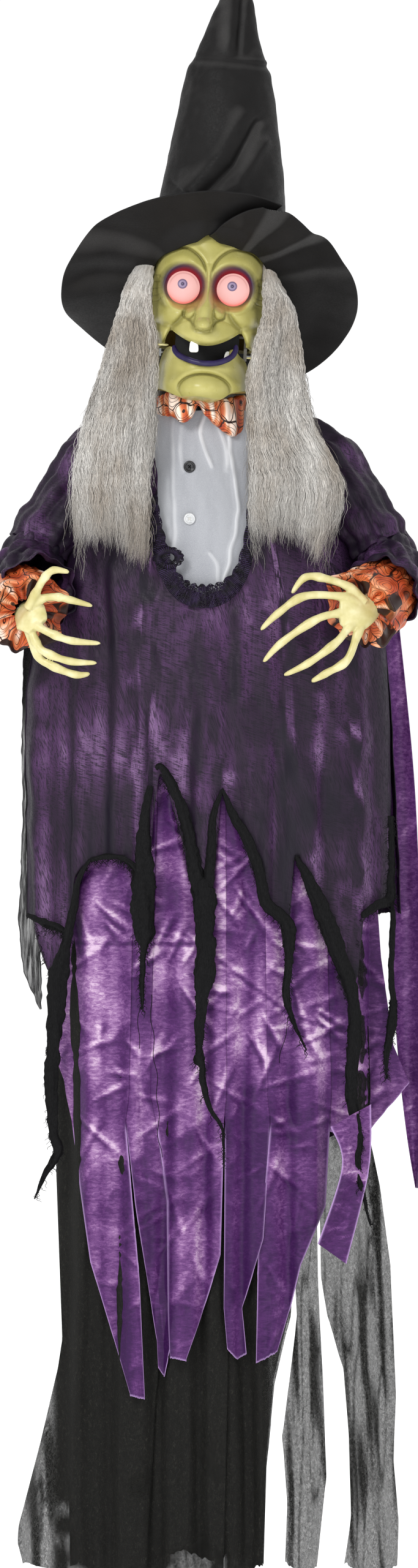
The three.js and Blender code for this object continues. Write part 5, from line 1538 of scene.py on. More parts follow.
def satin_light(x, z, index, height, tone):
    """The light that crumpled satin throws back: broad facets, sharp creases and a few long bands."""
    rise_x, rise_z = slopes(height, x, z)
    light = tone + 0.5 * np.clip(0.9 * rise_z - 0.85 * rise_x, -0.6, 0.6)
    for at, width in ((-125, 9), (-26, 4), (55, 9), (110, 6)):
        light += 0.15 * bell((x - at + 0.02 * (z + 1000)) / width) * step(-1230, -1050, z)
    cloud = flat_noise(x + 0.4 * z, z * 0.8, 50, 2, index + 2, 3)
    light += 0.34 * cloud * step(-1420, -1200, z) + 0.1 * cloud
    crease = line_distance(x, z, PACKING_CREASE)
    light += (0.16 + 0.2 * step(-1300, -1150, z)) * creased(x, z)
    return light - 0.2 * bell(crease / 2.0) + 0.14 * bell((crease - 5) / 3)


def strip_grid(strip, seed, ragged, rows):
    """One hanging panel, given as (left edge, right edge, hem, columns): graphs of height or of 0..1."""
    left, right, hem, columns = strip
    u = np.linspace(0, 1, columns)[None, :]
    # The part that the robe hides needs few rows.
    t = np.interp(np.linspace(0, 1, rows), (0, 0.08, 1), (0, 0.17, 1))[:, None]
    end = hem(u) + ragged * flat_noise(u * 60, 0 * u + seed, 3.5, 3, seed)
    z = WAIST + (end - WAIST) * t
    lap = 3.0 * step(-1190, -1150, z)
    a, b = left(z) - lap, right(z) + lap
    return a + (b - a) * u, z, u + 0 * t, end + 0 * z


def hung_strip(index, strip, inset, seed, strength, ragged, crease, flip, rows):
    """A panel hung inside the robe: flip is 1 in front and -1 behind, inset how far inside it hangs."""
    x, z, u, end = strip_grid(strip, seed + index, ragged, rows)
    width = skirt_half_width(z)
    folds = hanging_folds(x, z, seed, -700, -1500, strength)
    free = step(-1180, -1420, z)
    lift = 5 * np.sin(x / 17 + index * 1.7) * free * strength
    facets = crease * (broad_crumple(x, z, seed) - 3.0)
    push = np.clip(folds + lift + facets, -9, 7)
    covered = step(-25, 15, z - ROBE_HEM(x)) if flip > 0 else step(-960, -900, z)
    push = push * (1 - covered) + np.minimum(push * 0.4, -2) * covered
    push = push - 1.2 * (index % 2)
    body = np.sqrt(np.clip(1 - np.square(np.clip(x / (width + 1), -1, 1)), 0.0, 1))
    y = BODY_Y - flip * ((robe_half_depth(z) - inset) * body + push * np.clip(body * 2, 0.15, 1))
    return x, y, z, u, end, 1.2 * facets + 0.5 * folds


def build_satin(name, strips, seed, flip, tones, node, rows):
    for index, strip in enumerate(strips):
        x, y, z, u, end, relief = hung_strip(index, strip, 7, seed, 0.75, 1.5, 1.0, flip, rows)
        low = step(-1090, -1260, z)
        tone = 0.45 * (1 - low) + 0.88 * tones[index] * low
        tone = tone - 0.22 * step(-1300, -1440, z) * tones[index] / 0.5
        light = satin_light(x, z, index, relief, tone)
        y = y - flip * 1.6 * creased(x, z) * step(-800, -840, z)
        # Painted highlights along the cut edges and the hem.
        cut = np.maximum(bell(u / 0.018), bell((1 - u) / 0.018)) * step(-1185, -1200, z)
        cut = np.maximum(cut, bell((z - end) / 1.2))
        paint = painted(np.clip(light, 0, 1), 0.8 * cut)
        points = np.stack([x, y, z], -1)
        thickness = np.full(z.shape, SATIN_THICKNESS * flip)
        piece = sheet_piece(f"{name}_{index + 1}", points, thickness, SATIN, paint=paint)
        finish_piece(piece, "figure", node)


def build_black(name, strips, seed, flip, node):
    for index, strip in enumerate(strips):
        x, y, z, *_ = hung_strip(index, strip, 19, seed, 0.9, 7, 0.45, flip, 180)
        thin = np.maximum(step(58, 72, x), step(-168, -182, x))
        patches = step(0.25, 0.5, flat_noise(x, z, 40, 2, seed)) * step(-1500, -1640, z)
        thin = np.clip(np.maximum(thin, 0.7 * patches), 0, 1)
        # Pleats lie double, and let less light through.
        pleats = flat_noise(x * 1.3 + 0.05 * z, z * 0.09, 13, 3, seed, seed)
        lines = bell(flat_noise(x * 1.2, z * 0.12, 15, 2, seed + 1, 9) / 0.07)
        double = np.clip(step(0.05, 0.5, pleats) + 0.6 * lines, 0, 1)
        points = np.stack([x, y - flip * 2.2 * pleats, z], -1)
        piece = sheet_piece(f"{name}_{index + 1}", points, np.full(z.shape, LINER_THICKNESS * flip),
                            NONWOVEN, paint=painted(thin, double))
        finish_piece(piece, "figure", node)


def build_satin_fold():
    """One strip at the figure's left is folded over on itself."""
    u, t = np.meshgrid(np.linspace(0, 1, 40), np.linspace(0, 1, 120))
    left = along([(137, -1190), (150, -1235), (123, -1322)], t)
    right = along([(183, -1165), (180, -1240), (155, -1345)], t)
    x = left[..., 0] + (right[..., 0] - left[..., 0]) * u
    z = left[..., 1] + (right[..., 1] - left[..., 1]) * u
    turned = bell((z + 1236 + 0.4 * (x - 150)) / 10)
    height = crumple(x, z, 5, 0.7)
    y = -106 - 5 * np.sin(u * 5 + t * 3) - 0.8 * height + 16 * u - 5 * turned
    points = np.stack([x, y, z], -1)
    light = 0.45 - 0.25 * step(-1236, -1250, z + 0.4 * (x - 150)) + sheen(height, x, z, 0.8, 0.0)
    # Painted highlights along the edges.
    edge = np.maximum(bell(u / 0.03), bell((1 - u) / 0.03))
    paint = painted(np.clip(light + 0.2 * turned, 0, 1), edge)
    fold = sheet_piece("satin_fold", points, np.full(x.shape, 0.8), SATIN, paint=paint)
    finish_piece(fold, "figure")


def edge(*pairs):
    """A panel's edge: how far across it is at each height, from (across, height) pairs."""
    return graph(*[(z, x) for x, z in pairs])


def satin_front():
    """The satin strips in front, from the figure's right to its left."""
    outer = edge((-150, -612), (-178, -800), (-176, -1100), (-160.8, -1139), (-145.6, -1262), (-134, -1343),
                 (-107, -1431), (-89, -1491))
    cut2 = edge((-50, -612), (-63.5, -1154), (-54.5, -1220), (-46.9, -1274), (-46, -1400), (-44, -1452))
    cut5 = edge((120, -612), (136.6, -1190))
    right = edge((150, -612), (178, -800), (192, -1000), (206, -1100), (224, -1142))
    return [
        (outer, edge((-80, -612), (-94.5, -1184), (-89, -1244), (-78, -1364), (-72.5, -1494)),
         graph((0, -1493), (1, -1497)), 60),
        (edge((-80, -612), (-94, -1184), (-82.8, -1280), (-58.7, -1431), (-57, -1470)), cut2,
         graph((0, -1462), (0.5, -1472), (1, -1440)), 34),
        (cut2, edge((16, -612), (16.6, -1205), (13.1, -1334), (-10.4, -1409), (-25.5, -1451)),
         graph((0, -1450), (1, -1453)), 50),
        (edge((16.5, -612), (17.9, -1214), (16.6, -1394), (20.7, -1442)),
         edge((62, -612), (69, -1184), (64.2, -1274), (61.4, -1316), (37.3, -1394), (42, -1446)),
         graph((0, -1440), (0.5, -1452), (1, -1446)), 40),
        (edge((62.5, -612), (69.5, -1184), (64.2, -1244), (55.2, -1334), (53.8, -1424), (53.1, -1456)),
         edge((120, -612), (136.6, -1190), (131.8, -1280), (103.5, -1346), (91.8, -1394), (76.6, -1445)),
         graph((0, -1457), (1, -1444)), 54),
        (cut5, right, graph((0, -1196), (0.4, -1210), (1, -1143)), 54),
    ]


def satin_back():
    """The satin strips behind: each narrows upwards and widens a little at its end."""
    cuts = [-178, -120, -62, 0, 60, 118, 178]
    hems = [graph((0, -1180), (0.5, -1420), (1, -1330)), graph((0, -1440), (0.6, -1480), (1, -1400)),
            graph((0, -1380), (0.5, -1460), (1, -1410)), graph((0, -1440), (0.5, -1470), (1, -1380)),
            graph((0, -1400), (0.4, -1370), (1, -1230)), graph((0, -1215), (0.5, -1200), (1, -1170))]
    return [(edge((a * 0.84, -612), (a, -800), (a, -1500), (a * 1.05, -1703)),
             edge((b * 0.84, -612), (b, -800), (b, -1500), (b * 1.05, -1703)), hem, 40)
            for a, b, hem in zip(cuts[:-1], cuts[1:], hems)]


def black_front():
    """The liner's five panels in front."""
    return [
        (edge((-140, -612), (-170, -800), (-173, -1244), (-166, -1431), (-171, -1464), (-191, -1549),
              (-216, -1645), (-217, -1663), (-210, -1690)),
         edge((-40, -612), (-48, -1349), (-60, -1500), (-70, -1700)),
         graph((0, -1686), (0.5, -1698), (1, -1690)), 56),
        (edge((-60, -612), (-66, -1349), (-74, -1700)), edge((20, -612), (24, -1349), (16, -1700)),
         graph((0, -1694), (0.5, -1700), (1, -1688)), 50),
        (edge((10, -612), (12, -1349), (6, -1700)),
         edge((80, -612), (95, -1349), (91.8, -1404), (73.8, -1480), (64.9, -1573), (61.4, -1690)),
         graph((0, -1698), (0.5, -1694), (1, -1682)), 44),
        (edge((81, -612), (97, -1360), (99.4, -1404), (90.4, -1480), (82.8, -1540), (88.3, -1615),
              (85.6, -1690)),
         edge((112, -612), (123, -1360), (124.9, -1404), (129, -1480), (132.5, -1585), (121.4, -1690)),
         graph((0, -1684), (0.5, -1696), (1, -1688)), 30),
        (edge((113, -612), (127, -1360), (133.9, -1404), (151.8, -1464), (158, -1540), (160.8, -1630),
              (151.8, -1690)),
         edge((140, -612), (170, -800), (181.5, -1202), (193.9, -1260), (205.6, -1349), (209, -1431),
              (211.8, -1495), (209, -1570), (215, -1639), (213, -1700)),
         graph((0, -1682), (0.5, -1699), (1, -1690)), 40),
    ]


def black_back():
    """The liner's panels behind hang between the same edges, but for the first."""
    short = [graph((0, -1690), (0.5, -1676), (1, -1694))] * 3
    short += [graph((0, -1225), (1, -1205)), graph((0, -1210), (1, -1180))]
    panels = [(a, b, hem, columns) for (a, b, _, columns), hem in zip(black_front(), short)]
    inward = edge((-140, -612), (-170, -800), (-172, -1244), (-162, -1431), (-158, -1690))
    panels[0] = (inward, *panels[0][1:])
    return panels


def build_skirts():
    build_satin("satin_front", satin_front(), 2, 1, (0.42, 0.12, 0.55, 0.1, 0.26, 0.5), "satin_skirt_front",
                300)
    build_satin_fold()
    build_satin("satin_back", satin_back(), 6, -1, (0.4, 0.2, 0.5, 0.2, 0.3, 0.45), "satin_skirt_back", 200)
    build_black("black_front", black_front(), 3, 1, "black_skirt_front")
    build_black("black_back", black_back(), 8, -1, "black_skirt_back")


# ---- Shirt and collar ------------------------------------------------------------------------------------

shirt_depth = soft_graph((-380, 46), (-430, 52), (-500, 67), (-600, 75.5), blur=16)


def build_button(name, x, z, y, material):
    """A four-hole shirt button with a raised rim, sewn on through its holes."""
    rings = [(0.01, 0.9), (3.9, 0.9), (4.6, 0.2), (5.6, 0.0), (6.3, 0.4), (6.5, 1.2), (6.1, 2.0),
             (0.01, 2.2)]
    profile = along(rings, np.linspace(0, 1, 40))
    turn = full_turn(64)
    r, d = profile[:, :1], profile[:, 1:]
    px, pz = r * np.cos(turn), r * np.sin(turn)
    hole = np.zeros_like(px)
    for hx, hz in ((-1.35, -1.35), (1.35, -1.35), (-1.35, 1.35), (1.35, 1.35)):
        hole += bell(np.hypot(px - hx, pz - hz) / 0.62)
    points = np.stack([x + px, y + d + hole * 0.9 * (d < 1.3), z + pz], -1)
    verts, faces = capped(points)
    button = make_mesh(f"{name}_button", verts, faces, material)
    finish_piece(outward(button), "figure", f"{name}_shirt_button")
    q = np.linspace(-1, 1, 16)[:, None]
    stitches = []
    for sx in (-1, 1):
        for off in (-0.25, 0.25):
            line = np.concatenate([x + q * 1.45 * sx, y + 0.55 - 0.35 * (1 - q**2), z + q * 1.45 + off], 1)
            stitches.append(capped(tube(line, 0.22, 6, up=(0, 1, 0))))
    verts, faces = joined(stitches)
    thread = make_mesh(f"{name}_button_thread", verts, faces, NATURAL if material == BUTTON_CLEAR else GAUZE)
    finish_piece(thread, "figure")


def build_shirt():
    rows, columns = 180, 150
    u = np.linspace(-1, 1, columns)[None, :]
    t = np.linspace(0, 1, rows)[:, None]
    z = -382 - 213 * t + 0 * u
    x = -6 + 64 * u * (0.86 + 0.14 * step(0, 0.25, t))
    base = np.stack([x, 0 * x, z * 0.2], -1)
    bent = x + 5 * flat_noise(0 * z + 9, z, 34, 2, 3)
    lines = [([(27, -380), (23, -420), (27, -455), (31, -490), (27, -530), (19, -575)], 1.0),
             ([(-3, -385), (-9, -405), (-5, -428), (2, -446)], 0.9),
             ([(-40, -392), (-42, -470), (-38, -560)], 0.6),
             ([(10, -395), (18, -420), (20, -450)], 0.7), ([(-30, -400), (-33, -430), (-30, -450)], 0.5),
             ([(2, -545), (10, -560), (14, -590)], 0.6)]
    smooth = [([tuple(p) for p in along(line, np.linspace(0, 1, 9))], weight) for line, weight in lines]
    gaps = [(line_distance(bent, z, line), weight) for line, weight in smooth]
    ridges = sum(weight * bell(gap / 3.2) for gap, weight in gaps)
    broken = step(-0.5, 0.25, flat_noise(x, z, 26, 2, 8))
    folds = 2.6 * noise(base, 26, 2, 4) + 0.6 * noise(base * (1, 1, 2), 9, 2, 5) + 2.0 * ridges
    depth = shirt_depth(z)
    body = np.sqrt(1 - np.square(x / np.maximum(robe_half_width(z), 112)))
    y = BODY_Y - depth * body - np.clip(folds, -3.5, 4.5)
    # The grey is partly random tone and partly painted sheen from the folds; the streaks are painted
    # highlights by the ridges.
    grey = np.clip(0.5 + 0.35 * noise(base * (1, 1, 0.7), 22, 2, 7) + sheen(folds, x, z, 0.28, 0.0) - 0.1,
                   0.05, 0.95)
    sheen_streak = sum(weight * bell((gap - 0.8) / 1.5) for gap, weight in gaps) * (0.25 + 0.75 * broken)
    paint = painted(grey, np.clip(0.5 * sheen_streak, 0, 1))
    points = np.stack([x, y, z], -1)
    piece = sheet_piece("shirt", points, np.full(z.shape, 1.0), SHIRT, paint=paint)
    finish_piece(piece, "figure", "shirt_front")
    for name, at, material in (("upper", -446, BUTTON_BLACK), ("lower", -505, BUTTON_CLEAR)):
        build_button(name, -22, at, BODY_Y - shirt_depth(at) * 0.985 - 4.2, material)


LACE_EDGE = [(-62, -478, 3), (-61, -500, 5), (-58, -530, 8), (-47, -566, 9), (-30, -587, 11), (-8, -594, 12),
             (16, -589, 11), (36, -568, 8), (46, -530, 6), (50, -480, 5), (55, -436, 4)]


def build_lace_band():
    """A gathered lace band round the neckline, with a scalloped inner edge."""
    s = np.linspace(0, 1, 620)[None, :]
    line = along(LACE_EDGE, s)
    px, pz, half = line[..., 0], line[..., 1], line[..., 2]
    tx, tz = np.gradient(px, axis=1), np.gradient(pz, axis=1)
    size = np.hypot(tx, tz)
    nx, nz = -tz / size, tx / size
    v = np.linspace(-1, 1, 30)[:, None]
    scallop = 1 + 0.3 * np.abs(np.sin(s * 60)) * (v > 0)
    reach = v * half * scallop
    x, z = px + nx * reach, pz + nz * reach
    gather = 1.4 * np.sin(s * 210 + 1.5 * np.sin(s * 31)) * (0.4 + 0.6 * np.abs(v))
    gather = gather + 1.2 * flat_noise(x, z, 6, 2, 3)
    depth = robe_half_depth(z) + 6.2 + gather + 1.5 * (1 - v * v)
    y = BODY_Y - depth * np.sqrt(1 - np.square(x / cloth_half_width(z)))
    uv = np.stack([s * 360 + 0 * v, v * 10 + 0 * s], -1)
    points = np.stack([x, y, z], -1)
    piece = sheet_piece("lace_band", points, np.full(x.shape, -0.5), LACE, uv=uv)
    finish_piece(outward(piece), "figure", "neckline_lace")


def build_lace_scallops():
    """A lump of the lace rolled up on the figure's right."""
    turn = np.linspace(0, 2 * np.pi, 220)[None, :]
    v = np.linspace(0, 1, 14)[:, None]
    ring = 6.0 + 8.5 * v + 1.3 * np.abs(np.sin(turn * 7)) * v
    x = -46 + ring * 1.15 * np.cos(turn)
    z = -549 + ring * 0.82 * np.sin(turn)
    y = front_y(x, z, 3.5) - 4 - 3.0 * np.sin(v * np.pi) - 1.2 * flat_noise(x, z, 5, 2, 2)
    uv = np.stack([turn * 12 + 0 * v, v * 10 + 0 * turn], -1)
    points = np.stack([x, y, z], -1)
    scallops = sheet_piece("lace_scallops", points, np.full(x.shape, 0.5), LACE, uv=uv)
    finish_piece(outward(scallops), "figure", "neckline_lace")


RUFFLE_TOP = soft_graph((-66, -368), (-50, -360), (-30, -362), (-13, -370), (0, -372), (20, -370),
                        (46, -364), blur=4)
RUFFLE_BOTTOM = soft_graph((-66, -378), (-60, -387), (-45, -391), (-29, -397), (-20, -389), (-14, -377),
                           (-10, -379), (-4, -389), (10, -399), (24, -408), (34, -412), (42, -405),
                           (47, -388), blur=2)


def build_ruffle():
    """The web-printed ruffle: a folded band round the neck that swells into two lobes under the chin."""
    columns, rows = 420, 60
    turn = full_turn(columns)
    ring = np.linspace(-np.pi, np.pi, rows, endpoint=False)[:, None]
    x0 = -9.3 + 56.5 * np.cos(turn)
    ahead = step(0.1, -0.35, np.sin(turn))
    top = RUFFLE_TOP(x0) * ahead - 368 * (1 - ahead)
    bottom = RUFFLE_BOTTOM(x0) * ahead - 384 * (1 - ahead)
    half, middle = (top - bottom) / 2, (top + bottom) / 2
    pinch = bell((x0 + 13) / 6) * ahead
    fan = np.arctan2(x0 + 13, 34)
    pleat = np.sin(fan * 17 + 1.1 * np.sin(ring)) * 1.6 + 0.9 * np.sin(turn * 31 + 2 * np.sin(turn * 5))
    thick = 8 - 3.5 * pinch
    # The front of the loop is nearly flat, and the lower edge tucks under it.
    facing = np.cos(ring)
    swell = pleat * (0.4 + 0.6 * np.clip(facing, 0, 1))
    radius = 48 + thick * np.sign(facing) * np.abs(facing) ** 0.5 + swell
    x = -9.3 + radius * np.cos(turn)
    y = -40 + radius * np.sin(turn)
    z = middle + half * np.sin(ring) * (1 + 0.03 * pleat)
    points = np.stack([x, y, z + 0 * x], -1)
    points = points + noise(points, 11, 2, 5)[..., None] * 1.0
    uv = np.stack([turn * 60 + 0 * ring, ring * 14 + 0 * turn], -1)
    # The paint is partly random tone and partly painted light: paler on the pleats, with painted shade along
    # the loop's lower side.
    tone = 0.6 + 0.16 * pleat + 0.4 * noise(points, 15, 2, 3) - 0.15 * step(-0.5, -1, np.sin(ring))
    paint = painted(np.clip(tone, 0, 1)).reshape(-1, 3)
    index = np.arange(rows * columns).reshape(rows, columns)
    right = np.roll(index, -1, 1)
    faces = np.stack([index, right, np.roll(right, -1, 0), np.roll(index, -1, 0)], -1).reshape(-1, 4)
    piece = make_mesh("ruffle", points.reshape(-1, 3), faces, WEB, uv=uv.reshape(-1, 2), paint=paint)
    finish_piece(outward(piece), "figure", "neck_ruffle")


# ---- Arms ------------------------------------------------------------------------------------------------

SLEEVE_UPPER = [(84, -20, -424, 28, 27), (112, -21, -436, 45, 38), (140, -24, -461, 42, 45),
                (166, -29, -492, 34, 46), (184, -34, -519, 34, 44), (194, -38, -538, 33, 41)]
SLEEVE_LOWER = [(186, -28, -522, 31, 40), (197, -37, -543, 33, 41), (204, -53, -562, 35, 42),
                (204, -74, -575, 37, 44), (198, -94, -586, 40, 48), (192, -106, -592, 43, 51)]


def sleeve_grid(rows, side, steps, seed):
    """A loose sleeve with gathers and slack folds, from rows of x, y, z, half width and half depth."""
    t = np.linspace(0, 1, steps)
    line = along(rows, t)
    spine = line[:, :3] * (side, 1, 1)
    sides = 150
    rings = tube(spine, line[:, 3], sides, flat=line[:, 4], up=(0, 1, 0))
    turn = full_turn(sides)
    centre = spine[:, None, :]
    out = rings - centre
    flute = 0.05 * np.sin(7 * turn + 3 * t[:, None] + seed) + 0.035 * np.sin(13 * turn - 5 * t[:, None])
    slack = 0.07 * noise(rings * (1, 1, 1.5), 34, 3, seed) + 0.03 * noise(rings, 11, 2, seed + 2)
    swell = 0.4 + 0.6 * np.abs(np.sin(turn * 1.5 + seed))
    ridge = 0.05 * np.sin(t[:, None] * 26 + 2.2 * np.sin(turn + seed)) * swell
    return centre + out * (1 + flute + slack + ridge)[..., None]


def sleeve_part(name, side, rows, steps, seed, tone, grain):
    """One half of a sleeve: a closed, wrapped sheet of the robe's cloth."""
    points = sleeve_grid(rows, side, steps, seed + side)
    light = np.clip(tone + 0.75 * noise(points * (1, 1, 0.6), *grain), 0, 1)
    thickness = np.full(light.shape, ROBE_THICKNESS)
    piece = sheet_piece(name, points, thickness, ROBE, wrap=True, paint=painted(light))
    outward(piece)
    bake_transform(piece)
    return piece


CUFF_ENDS = {
    "left": ((206, -84, -582), (171, -133, -609)),
    "right": ((-218, -86, -588), (-203, -134, -613)),
}


def build_cuff(name, side):
    """A flared cuff of web-printed cloth: it is wavy at the hand, and turns in to gather on the wrist."""
    start, end = CUFF_ENDS[name]
    t = np.concatenate([np.linspace(0, 1, 60), np.ones(26)])
    inner = np.concatenate([np.zeros(60), np.linspace(0.04, 1, 26)])
    spine = along([start, tuple((np.add(start, end)) / 2), end], np.linspace(0, 1, 60))
    axis = (spine[-1] - spine[0]) / np.linalg.norm(spine[-1] - spine[0])
    straight_on = np.array([start + axis * d for d in np.linspace(0, 1, 86) * 100])
    widths = np.interp(t, (0, 0.5, 1), (33, 41, 45)) * (1 - inner) + 15 * inner
    rings = tube(straight_on, widths, 220, flat=widths * (1.0 if side > 0 else 1.02), up=(0, 0, 1))
    centre = np.concatenate([spine,
                             spine[-1] - axis * (4 * np.sin(inner[60:] * np.pi) + 9 * inner[60:])[:, None]])
    rings = rings - straight_on[:, None, :] + centre[:, None, :]
    turn = full_turn(220)
    rise, tuck = t[:, None], inner[:, None]
    ruffle = (0.07 * np.sin(6 * turn + side) + 0.05 * np.sin(11 * turn + 2)) * rise**1.3
    gather = 0.05 * np.sin(19 * turn) * (1 - rise) + 0.05 * noise(rings, 18, 2, 3)
    gather = gather + 0.10 * np.sin(17 * turn) * tuck
    rings = centre[:, None, :] + (rings - centre[:, None, :]) * (1 + ruffle + gather)[..., None]
    wave = 5 * np.sin(5 * turn + 1 + side) * rise**2 * (1 - tuck)
    wave = wave + 2.5 * np.sin(17 * turn) * np.sin(tuck * np.pi)
    rings = rings + axis * wave[..., None]
    length = np.concatenate([np.linspace(0, 62, 60), 62 + np.linspace(1, 34, 26)])[:, None]
    uv = np.stack([turn * 43 + 0 * rise, length + 0 * turn], -1)
    # The paint is partly random tone and partly painted light: paler on the ruffles and gathers, with painted
    # shade where the cloth turns in.
    tone = 0.36 + 0.5 * noise(rings, 22, 2, 5) + 1.6 * (ruffle + gather) - 0.1 * tuck
    paint = painted(np.clip(tone, 0, 1))
    piece = sheet_piece(f"{name}_cuff_cloth", rings, np.full(uv.shape[:2], 1.0), WEB, wrap=True, uv=uv,
                        paint=paint)
    finish_piece(outward(piece), f"{name}_forearm", f"{name}_cuff")


def build_sleeves():
    for name, side in SIDES.items():
        upper = sleeve_part(f"{name}_sleeve_upper", side, SLEEVE_UPPER, 120, 1.0, 0.42, (24, 3, 3))
        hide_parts(f"{name}_upper_sleeve")
        sleeve_part(f"{name}_sleeve_lower", side, SLEEVE_LOWER, 80, 4.0, 0.36, (22, 3, 5))
        build_cuff(name, side)


HANDS = {
    "left": {
        "wrist": (190, -122, -596), "palm": (168, -141, -611),
        "fingers": [
            [(176, -139, -600), (158, -144, -583), (130, -148, -573), (108, -150, -572), (93, -148, -590)],
            [(170, -141, -602), (153, -147, -594), (108, -153, -593), (78, -153, -612), (58, -149, -631)],
            [(168, -141, -609), (147, -148, -612), (121, -154, -619), (82, -154, -645), (61, -149, -667)],
            [(170, -141, -616), (157, -147, -628), (143, -153, -645), (112, -153, -668), (84, -149, -682)],
            [(174, -140, -622), (167, -145, -636), (155, -150, -665), (131, -150, -680), (115, -147, -689)],
        ],
    },
    "right": {
        "wrist": (-210, -120, -608), "palm": (-201, -139, -616),
        "fingers": [
            [(-204, -145, -606), (-195, -154, -590), (-186, -157, -574), (-175, -157, -564),
             (-157, -156, -566)],
            [(-203, -140, -606), (-188, -148, -596), (-172, -153, -594), (-157, -155, -597),
             (-131, -151, -604)],
            [(-203, -140, -616), (-192, -148, -627), (-177, -154, -635), (-155, -155, -643),
             (-122, -150, -646)],
            [(-203, -139, -624), (-194, -145, -646), (-184, -150, -656), (-157, -152, -666),
             (-126, -148, -668)],
            [(-204, -137, -630), (-192, -141, -660), (-179, -146, -670), (-151, -147, -681),
             (-134, -144, -680)],
        ],
    },
}


def build_hands():
    """Bony hands: a lean palm with ridges running out to five long fingers, thick at the knuckles."""
    for name, hand in HANDS.items():
        parts = []
        palm = along([hand["wrist"], hand["palm"], hand["fingers"][2][1]], np.linspace(0, 1, 30))
        s = np.linspace(0, 1, 30)
        broad, thick = np.interp(s, (0, 0.5, 1), (12, 21, 13)), np.interp(s, (0, 0.5, 1), (8, 7.5, 4.5))
        parts.append(capped(tube(palm, broad, 40, flat=thick, up=(0, -1, 0))))
        for points in hand["fingers"]:
            s = np.linspace(0, 1, 70)
            line = along(points, s)
            girth = np.interp(s, (0, 0.12, 0.24, 0.34, 0.48, 0.56, 0.66, 0.76, 0.84, 0.95, 1),
                              (5.2, 4.9, 5.8, 4.4, 4.5, 5.5, 4.1, 4.6, 3.7, 2.6, 1.1))
            parts.append(capped(tube(line, girth, 26, up=(0, -1, 0), flat=girth * 1.02)))
        verts, faces = joined(parts)
        piece = fuse(make_mesh(f"{name}_hand_skin", verts, faces, BONE), 1.1, 5)
        piece.data.materials.clear()
        piece.data.materials.append(BONE)
        finish_piece(piece, f"{name}_forearm", f"{name}_hand")


def build_veil():
    """The loose gauze at the figure's right side."""
    u, t = np.meshgrid(np.linspace(0, 1, 40), np.linspace(0, 1, 300))
    outer = graph((-640, -210), (-777, -213), (-837, -211), (-912, -213), (-957, -216), (-987, -213),
                  (-1017, -210), (-1035, -202), (-1059, -191))
    inner = graph((-640, -196), (-777, -205), (-837, -203), (-882, -200), (-927, -195), (-957, -188),
                  (-1002, -191), (-1032, -190), (-1059, -190))
    z = -640 - 419 * t
    x = outer(z) + (inner(z) - outer(z)) * u + 1.2 * flat_noise(0 * z, z, 9, 2, 3)
    y = -24 + 5 * np.sin(u * 3 + t * 4) + 4 * flat_noise(x, z * 0.3, 15, 2, 2)
    edge = np.maximum(bell(u / 0.07), bell((1 - u) / 0.1))
    edge = np.maximum(edge, step(-800, -700, z))
    points = np.stack([x, y, z], -1)
    veil = sheet_piece("veil_right", points, np.full(x.shape, -0.6), VEIL, paint=painted(0.95 * edge))
    finish_piece(veil, "figure", "side_drape_right")


def build_flap():
    """The crumpled satin that hangs at the figure's left side."""
    u, t = np.meshgrid(np.linspace(0, 1, 40), np.linspace(0, 1, 300))
    line = along([(204, -590, 8), (211, -700, 13), (217, -800, 16), (221, -900, 17), (225, -1020, 17),
                  (229, -1120, 14), (234, -1200, 10), (236, -1262, 2)], t)
    u = 2 * u - 1
    x = line[..., 0] + u * line[..., 2]
    z = line[..., 1] + 0 * u
    swing = np.sin(u * 2.4 + t * 3)
    y = -2 + 6 * swing + 5 * flat_noise(x, z * 0.3, 30, 2, 6)
    height = crumple(x, z, 4, 0.8)
    light = np.clip(0.35 + sheen(height, x, z, 0.5, 0.0) + 0.1 * swing, 0, 1)
    flap = sheet_piece("satin_flap", np.stack([x, y - 0.4 * height, z], -1),
                       np.full(x.shape, -SATIN_THICKNESS), SATIN, paint=painted(light))
    finish_piece(flap, "figure", "side_drape_left")


# ---- Stage -----------------------------------------------------------------------------------------------

CAMERA_LENS = 326
CAMERA_SENSOR = 36
CAMERA_PLACE = (0, -16.1, -0.804)
FLOOR_Z = -1760
FLOOR_REACH = 30000
SOFTBOXES = [((-1.3, -2.6, 0.9), 0.9, 46), ((1.9, -2.6, 0.1), 1.6, 12), ((-0.3, -3.2, -1.3), 1.6, 16)]
LAMPS_AIM = (0, 0, -0.7)


def look_at(thing, target):
    thing.rotation_euler = (Vector(target) - thing.location).to_track_quat("-Z", "Y").to_euler()


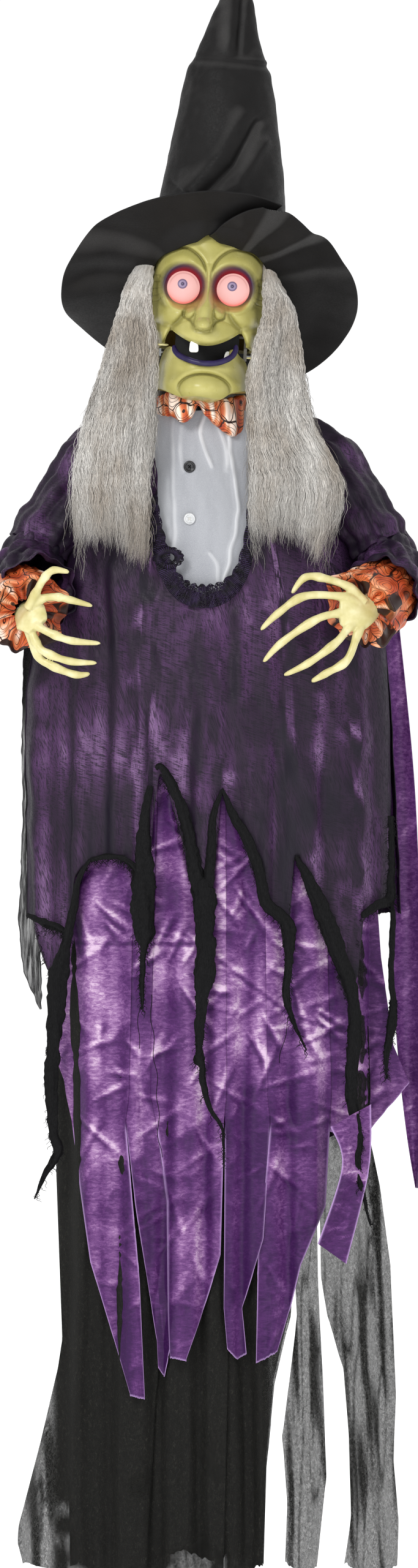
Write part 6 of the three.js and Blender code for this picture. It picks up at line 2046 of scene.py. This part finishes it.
def build_stage():
    scene = bpy.context.scene
    camera = bpy.data.objects.new("camera", bpy.data.cameras.new("camera"))
    scene.collection.objects.link(camera)
    camera.data.lens, camera.data.sensor_width = CAMERA_LENS, CAMERA_SENSOR
    camera.location = CAMERA_PLACE
    camera.rotation_euler = (math.pi / 2, 0, 0)
    camera.data.clip_end = 60
    scene.camera = camera

    pale = Material("pale_floor", Roughness=0.9, Specular_IOR_Level=0.1, Emission_Strength=0.35)
    pale.set(Base_Color=pale.ramp(pale.noise(pale.place(), 0.01), (0.3, srgb(0xF8F8F8)),
                                  (0.7, srgb(0xFFFFFF))))
    pale.set(Emission_Color=(1, 1, 1, 1), Normal=pale.bump(pale.noise(pale.place(), 0.2), 0.05, 0.2))
    corners = [(x * FLOOR_REACH, y * FLOOR_REACH, FLOOR_Z) for x, y in ((-1, -1), (1, -1), (1, 1), (-1, 1))]
    make_mesh("floor", corners, np.array([[0, 1, 2, 3]]), pale.material)

    # A white room, a little dimmer on the camera's side so that the lamps can shape the figure.
    world = bpy.data.worlds.new("studio")
    world.use_nodes = True
    tree = world.node_tree
    background = tree.nodes["Background"]
    coords = tree.nodes.new("ShaderNodeTexCoord")
    split = tree.nodes.new("ShaderNodeSeparateXYZ")
    reach = tree.nodes.new("ShaderNodeMapRange")
    reach.inputs["From Min"].default_value, reach.inputs["From Max"].default_value = -0.6, 0.5
    reach.inputs["To Min"].default_value, reach.inputs["To Max"].default_value = 0.66, 1.05
    tree.links.new(coords.outputs["Generated"], split.inputs[0])
    tree.links.new(split.outputs["Y"], reach.inputs["Value"])
    tree.links.new(reach.outputs["Result"], background.inputs["Strength"])
    background.inputs["Color"].default_value = (1, 1, 1, 1)
    scene.world = world
    for place, size, power in SOFTBOXES:
        light = bpy.data.objects.new("softbox", bpy.data.lights.new("softbox", "AREA"))
        light.data.size, light.data.energy = size, power
        light.location = place
        look_at(light, LAMPS_AIM)
        scene.collection.objects.link(light)
    scene.view_settings.view_transform = "Standard"


build_stage()
dress_cad_nodes()
build_face()
build_flanges()
build_eyes()
rounded_tooth("tooth_upper", (-14.5, -79.5, -66.5), (5.0, 1.9, 6.6), "figure", "upper_tooth", 0.03)
build_jaw()
rounded_tooth("tooth_lower", (24.5, -60.5, -76.5), (4.6, 1.9, 7.0), "jaw", "lower_tooth", -0.12)
build_crown()
build_brim()
build_hair()
build_nape_hair()
build_robe()
build_tails()
build_skirts()
build_shirt()
build_lace_band()
build_lace_scallops()
build_ruffle()
build_sleeves()
build_hands()
build_veil()
build_flap()
